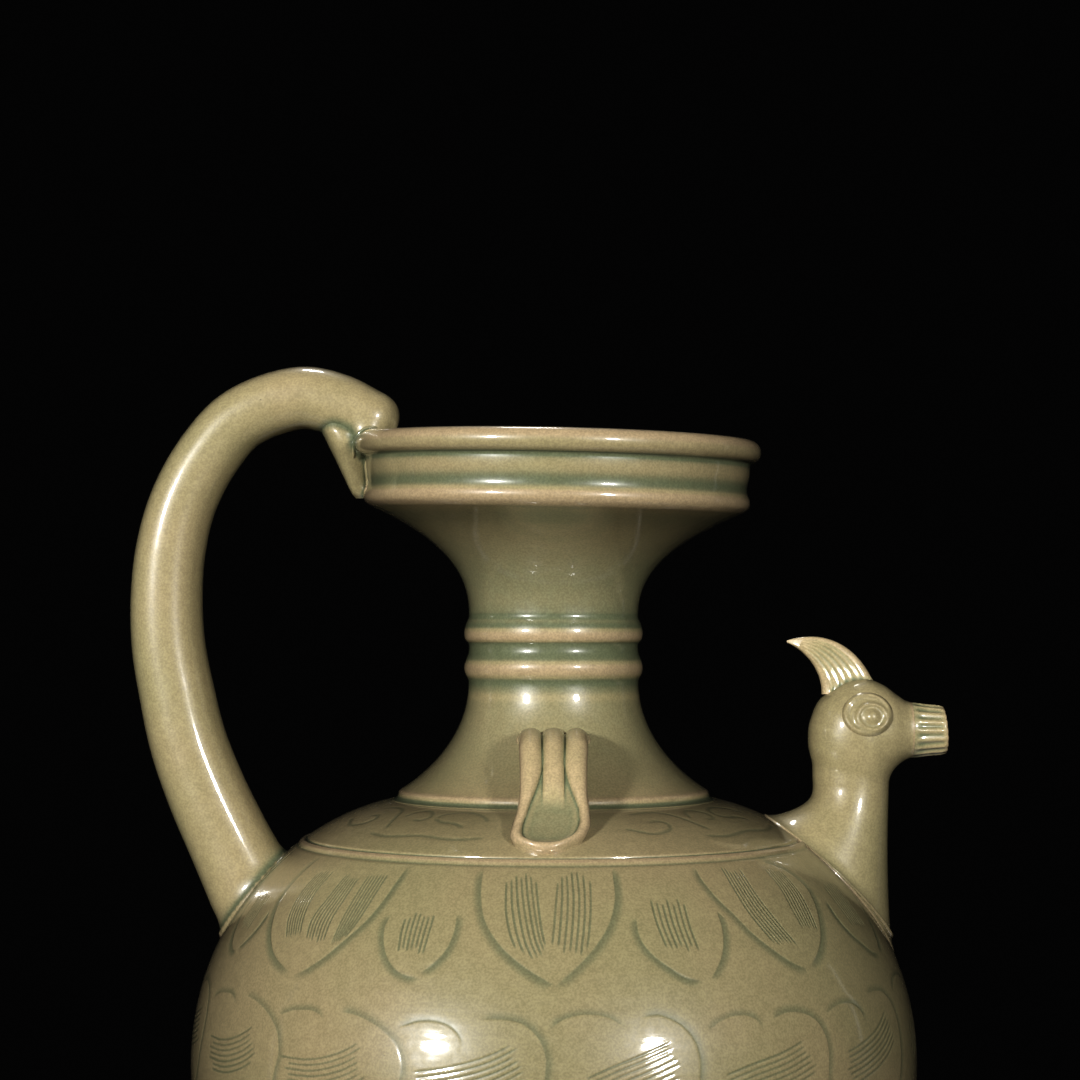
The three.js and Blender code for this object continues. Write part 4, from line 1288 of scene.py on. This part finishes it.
# %% The handle and its jaw
# Share of the way out, share of the way up, and how far the strap has swollen towards its root's size.
HANDLE_ROWS = [
    (0.562, 0, 1), (0.685, 0.1, 0.74), (0.797, 0.198, 0.62), (0.888, 0.297, 0.52), (0.945, 0.394, 0.44),
    (0.989, 0.492, 0.38), (1, 0.59, 0.32), (0.981, 0.688, 0.24), (0.92, 0.786, 0.14),
    (0.795, 0.883, 0.06), (0.628, 0.958, 0), (0.332, 1, 0), (0.142, 0.985, 0.02), (0, 0.956, 0),
]
HANDLE_NEAR, HANDLE_OUT = 49.5, 52.7
HANDLE_LOW, HANDLE_UP = 138.1, 129.0
STRAP_THICK, STRAP_WIDE, ROOT_SIZE = 16.6, 18.4, 23.4
SNOUT, SINK = 8.3, 9.0  # how far it runs on past the rows, over the rim and into the shoulder
SNOUT_SQUARE, SNOUT_FALL, SNOUT_TIP = 2.7, 2.3, 0.02
STRAP_SIDES = 112
SIDEWAYS = np.array([0, 1, 0])


def bent_rings():
    rows = np.array(HANDLE_ROWS)
    out, up = HANDLE_NEAR + HANDLE_OUT * rows[:, 0], HANDLE_LOW + HANDLE_UP * rows[:, 1]
    places = np.stack([-out, np.zeros(len(rows)), up], axis=1)
    path = through(places, 0.5)
    reach = lengths_of(path)[-1]
    snout_stops = reach + SNOUT * np.sin(np.linspace(0, 1.569, 26))
    stops = np.concatenate([np.arange(-SINK, reach, 0.8), snout_stops])
    on = np.clip(stops, 0, reach)
    along = unit(read_rows(on, lengths_of(path), np.gradient(path, axis=0)))
    centres = at_lengths(path, on) + along * (stops - on)[:, None]
    row_share = lengths_of(places) / lengths_of(places)[-1]
    grow = table(np.stack([row_share, rows[:, 2]], axis=1), on / reach)[:, 0]
    end = np.clip((stops - reach) / SNOUT, 0, 1)
    blunt = np.maximum((1 - end ** SNOUT_SQUARE) ** (1 / SNOUT_FALL), SNOUT_TIP)
    thick = (STRAP_THICK + (ROOT_SIZE - STRAP_THICK) * grow) / 2 * blunt
    wide = (STRAP_WIDE + (ROOT_SIZE - STRAP_WIDE) * grow) / 2 * blunt
    across = np.broadcast_to(SIDEWAYS, along.shape)
    return section(centres, np.cross(across, along), across, thick, wide, STRAP_SIDES)


def off_mouth(points):
    """How far points stand off the leaning mouth."""
    return off_line(lean(points, -1), mouth_line)


handle_rings = bent_rings()
handle_off = off_line(handle_rings.reshape(-1, 3), plain_line)
handle_rings = luted(handle_rings, handle_off, 4.0, 1.6)
over_rim = handle_rings[..., 0].ravel() > -62
mouth_off = np.where(over_rim, off_mouth(handle_rings.reshape(-1, 3)), 99)
handle_points, handle_faces = closed_loft(luted(handle_rings, mouth_off, 4.0, 2.2))

# Share of the way down, distance of the tongue's back from the axis, and its width.
JAW_ROWS = [
    (0, 59.0, 10.5), (0.02, 60.0, 12.5), (0.06, 61.0, 14.4), (0.12, 61.7, 15.8), (0.2, 61.5, 16.8),
    (0.28, 60.5, 16.9), (0.37, 59.4, 16.2), (0.472, 58.2, 14.6), (0.67, 56.2, 11.6), (0.863, 54.2, 8.4),
    (0.95, 53.2, 6.0), (1, 52.2, 3.0),
]
JAW_INNER, JAW_TOP, JAW_LONG = 49.2, 261.6, 21.2
JOINT = [(49.5, 249.3), (49.3, 247.2), (49.0, 244.6), (48.9, 242), (49.5, 240.2), (49.9, 238.9)]
BITE = [(52.4, 250.6), (52.1, 254.1), (51.2, 256.2), (49.9, 257.6), (48.4, 258.4), (46.0, 258.6)]


def jaw_rings():
    top = 0.06 * (1 - np.cos(np.linspace(0.1, 1.5, 9)))
    tip = 0.9 + 0.1 * np.sin(np.linspace(0.1, 1.57, 14))
    share = np.concatenate([top, np.linspace(0.08, 0.9, 52), tip])
    outer, width = table(JAW_ROWS, share).T
    level = JAW_TOP - share * JAW_LONG + 2.0 * (1 - smoothstep(0, 0.14, share))
    centres = np.stack([-(JAW_INNER + outer) / 2, np.zeros(len(share)), level], axis=1)
    out = np.broadcast_to(np.array([-1.0, 0, 0]), centres.shape)
    across = np.broadcast_to(SIDEWAYS, centres.shape)
    rings = section(centres, out, across, (outer - JAW_INNER) / 2, width / 2, STRAP_SIDES, 0.9)
    rings[..., 2] -= 0.33 * (rings[..., 0] + 56) * np.clip(1 - share * 2.2, 0, 1)[:, None]
    return luted(rings, off_mouth(rings.reshape(-1, 3)), 2.4, 1.3)


jaw = closed_loft(jaw_rings())
bite_tree = tree_of(handle_points, handle_faces)
jaw_tree = tree_of(*jaw)
finish_piece(
    "biting_handle", handle_points, handle_faces, celadon, ["handle"], rounds=2,
    beside=[jaw_tree], reach=2.4, extra=joint_pool(off_line(handle_points, plain_line), 0.26, 1.3),
)


def slip_rolls():
    """Rolls on the collar's wall and along the bite, mirrored to the far side."""
    joint, edge = [], []
    for x, z in through(JOINT, 0.4):
        radius = mouth_line[np.abs(mouth_line[:, 1] - z) < 0.3, 0].max() - 0.55
        joint.append((-x, -math.sqrt(radius ** 2 - x ** 2), z))
    for x, z in through(BITE, 0.4):
        start = Vector((-x, -40, z))
        hits = [tree.ray_cast(start, Vector((0, 1, 0)))[0] for tree in (bite_tree, jaw_tree)]
        edge.append((-x, min(hit.y for hit in hits if hit), z))
    edge, joint = np.array(edge), np.array(joint)
    for path in (edge, joint):
        path[:, 1] = blurred(path[:, 1], 0.4, 0.8)
    rolls = []
    for side in (np.array([1, 1, 1]), np.array([1, -1, 1])):
        rolls += [cord(lean(joint * side), 0.95), cord(edge * side, 0.5)]
    return rolls


jaw_points, jaw_faces = joined([jaw, *slip_rolls()])
finish_piece(
    "handle_jaw_tongue", jaw_points, jaw_faces, celadon, ["handle_jaw"], rounds=4,
    beside=[bite_tree], reach=2.6, gain=0.6, extra=joint_pool(off_mouth(jaw_points), 0.28, 0.8),
)

# %% [markdown]
# The cockerel's neck and head are pressed in one hollow piece. Its sections start level on the tube, turn
# through a quarter circle about the throat, and end upright at the beak, while the crown and the cheeks
# swell and fall away. The foot spreads on the slope of the shoulder, where a thin welt of slip runs round
# it, thickest in front. Inside runs the bore for pouring.

# %% The cockerel's neck and head
SPOUT_AT, SPOUT_TOP, TUBE = 78.15, 165.0, 9.95
FOOT_AT, FOOT_LONG, FOOT_WIDE = 72.2, 16.2, 16.6
THROAT = np.array([94.0, 0, 165.0])
# How far the head's inner and outer sides lie from the throat, first at the tube and then at the beak.
NEAR_TUBE, NEAR_BEAK = 5.9, 7.1
FAR_TUBE, FAR_BEAK, CROWN = 25.8, 21.7, 9
HALF_BEAK, CHEEK = 7.3, 2.9
BORE_AT, BORE_TUBE, BORE_TAPER = 15.4, 5.4, 1.8
# Share of the turn, and share of the crown's and the cheeks' swelling.
HEAD_ROWS = [
    (0, 0), (0.12, 0.12), (0.24, 0.47), (0.37, 0.8), (0.5, 1), (0.62, 1), (0.73, 0.88), (0.82, 0.58),
    (0.9, 0.22), (0.96, 0.04), (1, 0),
]
HEAD_SIDES = 128
head_angles = np.linspace(0, 2 * math.pi, HEAD_SIDES, endpoint=False)


def head_frame(turn):
    """The way out from the throat, how far the head begins and ends that way, and half its width."""
    bulge = table(HEAD_ROWS, turn)[:, 0]
    angle = turn * math.pi / 2
    outward = np.stack([-np.cos(angle), np.zeros(len(turn)), np.sin(angle)], axis=1)
    near = NEAR_TUBE + (NEAR_BEAK - NEAR_TUBE) * turn ** 3
    far = FAR_TUBE + (FAR_BEAK - FAR_TUBE) * turn + CROWN * bulge
    half = TUBE + (HALF_BEAK - TUBE) * turn + CHEEK * bulge
    return outward, near, far, half


def shoulder_height(radius):
    return np.interp(radius, shoulder_curve[:, 0], shoulder_curve[:, 1])


def spout_rings():
    foot_x = FOOT_AT - FOOT_LONG * np.cos(head_angles)
    foot_y = FOOT_WIDE * np.sin(head_angles)
    ground = shoulder_height(np.hypot(foot_x, foot_y))
    rings = []
    for down in np.linspace(1.06, 0, 64):
        spread = min(down, 1) ** 3
        wide = min(down, 1) ** 1.5
        waist = 0.5 * math.sin(math.pi * min(down, 1)) * (0.5 - 0.5 * np.cos(head_angles)) ** 2
        x = (SPOUT_AT - TUBE * np.cos(head_angles)) * (1 - spread) + foot_x * spread - waist
        y = TUBE * np.sin(head_angles) * (1 - wide) + foot_y * wide
        z = SPOUT_TOP + (ground - 0.4 - SPOUT_TOP) * down
        rings.append(np.stack([x, y, z], axis=1))
    return np.array(rings)


def head_rings():
    turn = np.linspace(0, 1, 120)[1:]
    outward, near, far, half = head_frame(turn)
    centres = THROAT + outward * ((near + far) / 2)[:, None]
    across = np.broadcast_to(SIDEWAYS, outward.shape)
    return section(centres, outward, across, (far - near) / 2, half, HEAD_SIDES, 1.0 - 0.06 * turn[:, None])


def bore_rings():
    back = np.linspace(1, 0, 40)
    outward = head_frame(back)[0]
    centres = THROAT + outward * (BORE_AT - back)[:, None]
    bore = BORE_TUBE - BORE_TAPER * back
    across = np.broadcast_to(SIDEWAYS, outward.shape)
    inside = section(centres, outward, across, bore, bore, HEAD_SIDES, 1.0)
    foot = inside[-1:] + np.array([0, 0, -1.0]) * np.linspace(4, 24, 6)[:, None, None]
    return np.concatenate([inside, foot])


outer_rings = np.concatenate([spout_rings(), head_rings()])
spout_off = off_line(outer_rings.reshape(-1, 3), plain_line)
outer_rings = luted(outer_rings, spout_off, 3.0, 1.2)
head_points, head_faces = closed_loft(np.concatenate([outer_rings, bore_rings()]), loop=True)


def foot_welt():
    """The welt rises from the joint towards the front, between two of the outer rings."""
    joint_row = np.abs(spout_off.reshape(outer_rings.shape[:2])).mean(axis=1)[:12].argmin()
    front = (0.5 - 0.5 * np.cos(head_angles)) ** 4
    rows_up = joint_row + 0.3 + 4.5 * front
    low_row = rows_up.astype(int)
    part = (rows_up - low_row)[:, None]
    sides = np.arange(HEAD_SIDES)
    path = outer_rings[low_row, sides] * (1 - part) + outer_rings[low_row + 1, sides] * part
    return cord(path, 0.12 + 0.45 * np.clip(front * 4, 0, 1), closed=True)


welted_points, welted_faces = joined([(head_points, head_faces), foot_welt()])
finish_piece(
    "cockerel_neck_and_head", welted_points, welted_faces, celadon, ["spout_neck", "chicken_head"],
    rounds=3,
)
head_tree = tree_of(head_points, head_faces)
print("the head turns about", THROAT.tolist())

# %% [markdown]
# The beak is a short fluted tube, open at its end. It is a loft of rings round its own axis, and its
# flutes are raised by the ridge tree, along an attribute that says how many flutes lie before each point.

# %% The beak
FLUTES = 18
BEAK_SIDES = FLUTES * 12
BEAK_RISE = 14.4
BORE = 3.6


def beak():
    rows = [
        (-2.4, 6.2), (-1.2, 6.9), (-0.2, 7.24), (0.8, 7.22), (2.0, 7.0), (3.4, 6.8), (5, 6.62), (6.8, 6.48),
        (8.1, 6.35), (8.7, 6.15), (8.95, 5.75), (8.9, 5.2),
    ]
    outside = through(rows, 0.22)
    inside = np.array([(8.5, 4.2), (8.0, 3.75), (6.8, BORE), (4, BORE), (0, BORE), (-2.2, 3.7)])
    line = np.vstack([outside, inside])
    out, radius = line[:, :1], line[:, 1:]
    angle = np.linspace(0, 2 * math.pi, BEAK_SIDES, endpoint=False)
    rings = np.stack([
        THROAT[0] + out - np.clip(out / 9, 0, 1) * radius * 0.06 * np.sin(angle),
        radius * np.cos(angle), THROAT[2] + BEAK_RISE + radius * np.sin(angle),
    ], axis=2)
    turns = np.tile(angle / (2 * math.pi) * FLUTES, len(line))
    strong = smoothstep(-0.6, 2.6, outside[:, 0]) * (1 - 0.75 * smoothstep(7.2, 8.5, outside[:, 0]))
    share = np.concatenate([strong, np.zeros(len(inside))])
    root = 0.09 * (1 - smoothstep(0.5, 5.0, line[:, 0]))
    points, faces = closed_loft(rings, loop=True)
    finish_piece(
        "fluted_beak", points, faces, thin_celadon, ["beak_tube"],
        {"ridge_turns": turns, "ridge_share": np.repeat(share, BEAK_SIDES)},
        rounds=14, ridge=0.19, gain=0.65, extra=np.repeat(root, BEAK_SIDES),
    )


beak()

# %% [markdown]
# The comb is a thin blade swept back from the crown, between a hollow back edge and a full front one. Its
# ridges are raised like the beak's flutes, and fade before the tip.

# %% The comb
COMB_TURN, COMB_ROOT = 0.78, 25.32
COMB_BACK, COMB_HIGH = 23.9, 14.1
COMB_THICK, COMB_ACROSS, COMB_RIDGES = 2.3, 60, 7.0


def off_head(point):
    place, normal, _, distance = head_tree.find_nearest(Vector(point))
    return distance if (Vector(point) - place).dot(normal) > 0 else -distance


def comb():
    root = THROAT + head_frame(np.array([COMB_TURN]))[0][0] * COMB_ROOT

    def edge(shares):
        corners = [(root[0] - back * COMB_BACK, root[2] + high * COMB_HIGH) for back, high in shares]
        return bezier(corners, 161)

    back_edge = edge([(0.62, 0), (0.62, 0.42), (0.76, 0.76), (1, 0.965)])
    front_edge = edge([(0.0, 0), (0.18, 0.98), (0.62, 1.22), (1, 1.0)])
    across = np.sin(np.linspace(-math.pi / 2, math.pi / 2, COMB_ACROSS)) * 0.5 + 0.5
    rounding = np.sqrt(np.maximum(1 - (2 * across - 1) ** 6, 0))
    ridged = smoothstep(0.07, 0.17, across) * (1 - smoothstep(0.76, 0.88, across))
    phase = across * COMB_RIDGES
    rings, turns, shares = [], [], []
    for k in range(len(back_edge)):
        along = k / (len(back_edge) - 1)
        blade = COMB_THICK * (1 - 0.45 * along) * min(1, (1 - along) * 5 + 0.16) - 0.1
        place = back_edge[k] + (front_edge[k] - back_edge[k]) * across[:, None]
        thick = blade * rounding + 0.02
        near_side = np.stack([place[:, 0], -thick, place[:, 1]], axis=1)
        far_side = np.stack([place[:, 0], thick, place[:, 1]], axis=1)[::-1]
        rings.append(np.concatenate([near_side, far_side]))
        strength = ridged * (1 - smoothstep(0.5, 0.86, along)) * (0.55 + 0.45 * smoothstep(0.1, 0.3, along))
        turns.append(np.concatenate([phase, phase[::-1]]))
        shares.append(np.concatenate([strength, strength[::-1]]))
    rings = np.array(rings)
    off = np.array([off_head(point) for point in rings.reshape(-1, 3)])
    points, faces = closed_loft(luted(rings, off, 1.6, 0.25))
    caps = np.zeros(2)
    turns, shares = np.concatenate([*turns, caps]), np.concatenate([*shares, caps])
    finish_piece(
        "ridged_comb", points, faces, thin_celadon, ["comb"],
        {"ridge_turns": turns, "ridge_share": shares},
        rounds=9, ridge=0.155, gain=0.7, beside=[head_tree], reach=1.6, extra=0.17 * (shares - 1),
    )


comb()

# %% [markdown]
# Each eye is stamped: a thin outer ring, an inner ring set low and forward, and a domed pupil. The stamp
# is a round sheet laid on the cheek, lifted by its relief and closed behind.

# %% The eyes
EYE_ROWS, EYE_SIDES = 64, 144
EYE_TURN, EYE_RADIUS = 0.664, 6.9
PUPIL = (1.1, -1.0)  # forward and up from the eye's middle
OUTER_RING, INNER_RING = 5.75, 3.75


def eye_relief(x, y, distance):
    low = math.hypot(x - PUPIL[0], y - PUPIL[1])
    outer_ring = 0.66 * math.exp(-((distance - OUTER_RING) / 0.8) ** 2)
    inner_ring = 0.75 * math.exp(-((low - INNER_RING) / 0.75) ** 2)
    dome = 1.15 * math.exp(-(((x - PUPIL[0]) / 1.9) ** 2 + ((y - PUPIL[1]) / 2.3) ** 2) ** 1.3)
    return outer_ring + inner_ring + dome + 0.08 - 0.5 * max(0, (distance - 6.0) / 0.9) ** 2


def eye(name, node, side):
    outward, near, far, _ = head_frame(np.array([EYE_TURN]))
    middle = THROAT + outward[0] * (near[0] + (far[0] - near[0]) * 0.62)
    start = Vector((middle[0] - 1.5, -side * 40, middle[2] - 0.1))
    place, normal, _, _ = head_tree.ray_cast(start, Vector((0, side, 0)))
    forward = (Vector((1, 0, 0)) - normal * normal.x).normalized()
    up = normal.cross(forward) * (1 if normal.cross(forward).z > 0 else -1)
    rings = []
    for distance in EYE_RADIUS * np.linspace(0, 1, EYE_ROWS)[1:]:
        ring = []
        for angle in np.linspace(0, 2 * math.pi, EYE_SIDES, endpoint=False):
            x, y = distance * math.cos(angle), distance * math.sin(angle)
            lift = eye_relief(x, y, distance)
            above = place + forward * x + up * (y * 0.89) + normal * 6
            hit = head_tree.ray_cast(above, -normal, 14)[0]
            ring.append(tuple((hit or above - normal * 6) + normal * lift))
        rings.append(ring)
    rings = np.array(rings)
    behind = rings[::-6] - np.array(normal) * 1.6
    points, faces = closed_loft(np.concatenate([rings, behind]))
    finish_piece(name, points, faces, celadon, [node], rounds=12, gain=0.7)


eye("ringed_eye_right", "eye_right", 1)
eye("ringed_eye_left", "eye_left", -1)

# %% [markdown]
# A cord lug is three rolls of clay side by side, bent into a strap. It leaves the neck, arches over and
# is thumbed down on the shoulder. There the middle roll dies away, and the outer two run on round the
# tip of a small dished pad.

# %% The lugs
# Share of the way out, share of the way up, and the strap's width.
LUG_ROWS = [
    (-0.1, 0.86, 17.2), (0.1, 0.975, 17.3), (0.26, 1, 17.4), (0.41, 0.92, 17.2), (0.54, 0.735, 16.6),
    (0.645, 0.515, 16.4), (0.735, 0.32, 17.6), (0.81, 0.20, 18.7), (0.865, 0.13, 18.2), (0.91, 0.08, 16.2),
    (0.95, 0.04, 12.4), (0.98, 0.0, 7.6), (1.0, -0.03, 2.6),
]
LUG_ACROSS = 76
LUG_NEAR, LUG_FAR, LUG_TOP = 22.4, 64, 178.8
LUG_BACK = 2.3
SIDE_ROLL, SIDE_SHRINK, MIDDLE_ROLL = 2.85, 1.5, 2.7


def lug_rings():
    rows = np.array(LUG_ROWS)
    tip = shoulder_height(LUG_FAR) + 4.6 / 3
    away, height = LUG_NEAR + (LUG_FAR - LUG_NEAR) * rows[:, 0], tip + (LUG_TOP - tip) * rows[:, 1]
    places = np.stack([np.zeros(len(rows)), -away, height], axis=1)
    path = through(places, 0.3)
    reach = lengths_of(path)[-1]
    row_share = lengths_of(places) / lengths_of(places)[-1]
    shares = lengths_of(path) / reach
    widths = table(np.stack([row_share, rows[:, 2]], axis=1), shares)[:, 0]
    outward = np.cross(unit(np.gradient(path, axis=0)), np.array([1.0, 0, 0]))
    across = np.linspace(-1, 1, LUG_ACROSS)
    edge = np.sqrt(np.maximum(1 - across ** 4, 0.0025))
    rings, pools = [], []
    for place, out, width, share in zip(path, outward, widths, shares):
        half = width / 2
        from_side = half * (1 - np.abs(across))
        from_tip = (1 - share) * reach
        inward = -np.log(np.exp(-from_side / 0.8) + np.exp(-from_tip / 0.8)) * 0.8
        rim = smoothstep(0.5, 0.76, share)
        size = SIDE_ROLL - SIDE_SHRINK * rim
        side_roll = np.maximum(1 - ((inward - size) / size) ** 2, 0) ** 0.55
        middle_roll = np.maximum(1 - (across * half / MIDDLE_ROLL) ** 2, 0) ** 0.55
        rolls = np.maximum(side_roll, (1 - smoothstep(0.60, 0.76, share)) * middle_roll)
        dish = smoothstep(0.6, 0.76, share) * smoothstep(2.4, 5.0, inward)
        front = 0.5 * edge + (1.8 - 0.7 * rim) * rolls - 0.3 * dish
        pools.append(np.concatenate([0.12 * dish - 0.12 * rolls, 0 * across]))
        x = across * half - 1.6 * smoothstep(0.72, 1.0, share)
        x = x + 0.09 * (across * half) * smoothstep(0.8, 1.0, share) * np.sign(-across)
        middle = place + np.stack([x, 0 * x, 0 * x], axis=1)
        behind = (middle - out * LUG_BACK * edge[:, None])[::-1]
        rings.append(np.concatenate([middle + out * front[:, None], behind]))
    return np.array(rings), np.concatenate([*pools, [0, 0]])


def lug(name, node, back):
    rings, pools = lug_rings()
    places = rings.reshape(-1, 3)
    off = np.minimum(off_line(places, plain_line), off_line(places, mouth_line))
    rings = luted(rings, off, 2.2, 0.8)
    if back:
        rings = rings * np.array([-1.0, -1.0, 1.0])
    points, faces = closed_loft(rings)
    finish_piece(name, points, faces, thin_celadon, [node], rounds=8, gain=0.8, extra=pools)


lug("cord_lug_front", "lug_front", False)
lug("cord_lug_back", "lug_back", True)

# %% [markdown]
# The room is plain and dim: a round pale floor, two round soft lights in front, left and right of the
# camera, with grids that keep their beams on the ewer, a large soft one behind it for its far side, a
# small one overhead, and two tall dim strips at the sides, which draw the fine streaks on the neck. The
# view is made a little brighter, with deeper shadows, as in the photograph.

# %% Floor and lights
FLOOR_RADIUS, FLOOR_SIDES = 0.22, 128
angles = np.linspace(0, 2 * math.pi, FLOOR_SIDES, endpoint=False)
circle = [(FLOOR_RADIUS * math.cos(a), FLOOR_RADIUS * math.sin(a), 0) for a in angles]
floor = mesh_object("round_floor", circle, [tuple(range(FLOOR_SIDES))])
floor_material = bpy.data.materials.new("pale_paper")
floor_material.use_nodes = True
floor_shader = floor_material.node_tree.nodes["Principled BSDF"]
floor_shader.inputs["Base Color"].default_value = (0.62, 0.61, 0.59, 1)
floor_shader.inputs["Roughness"].default_value = 0.9
floor.data.materials.append(floor_material)


def soft_light(name, place, size, power, shape="DISK", target=(0, 0, 0.16), beam=180):
    light = bpy.data.lights.new(name, "AREA")
    light.shape = shape
    light.size = size[0]
    if shape == "RECTANGLE":
        light.size_y = size[1]
    light.energy = power
    light.color = (1, 0.985, 0.96)
    light.spread = math.radians(beam)
    lamp = bpy.data.objects.new(name, light)
    lamp.location = place
    lamp.rotation_euler = (Vector(target) - Vector(place)).to_track_quat("-Z", "Y").to_euler()
    lamp.visible_camera = False
    bpy.context.scene.collection.objects.link(lamp)
    return lamp


ROUND, STRIP, BEAM = (0.24, 0.24), (0.04, 1.2), 26
soft_light("left_light", (-1.19, -1.61, 0.69), ROUND, 0.80, target=(-0.08, 0, 0.23), beam=BEAM)
soft_light("right_light", (1.02, -1.73, 0.69), ROUND, 0.53, target=(0.05, 0, 0.25), beam=BEAM)
back_light = soft_light("back_light", (0, 1.9, 0.8), (0.9, 0.7), 5, "RECTANGLE")
back_light.visible_glossy = False
soft_light("top_light", (-0.1, 0.8, 1.7), (0.3, 0.3), 4.2, target=(0, 0, 0.2))
soft_light("left_strip", (-1.99, 0.14, 0.3), STRIP, 0.06, "RECTANGLE")
soft_light("right_strip", (1.90, 0.62, 0.3), STRIP, 0.08, "RECTANGLE")
world = bpy.data.worlds.new("dim_room")
world.use_nodes = True
background = world.node_tree.nodes["Background"]
background.inputs["Color"].default_value = (0.0015, 0.0015, 0.0015, 1)
background.inputs["Strength"].default_value = 1.0
bpy.context.scene.world = world
view = bpy.context.scene.view_settings
view.view_transform = "Standard"
view.gamma = 0.86
view.exposure = 0.38

# %% [markdown]
# The flat drawings have done their work and are removed, and the pieces' triangles are counted.

# %% Tidy up and finish
for item in (EMPTY, petal_cuts_flat, petal_lines_flat, leaf_cuts_flat, leaf_lines_flat, cloud_lines_flat):
    drop(item)
print("triangles:", sum(made_pieces.values()), "in", len(made_pieces), "pieces")
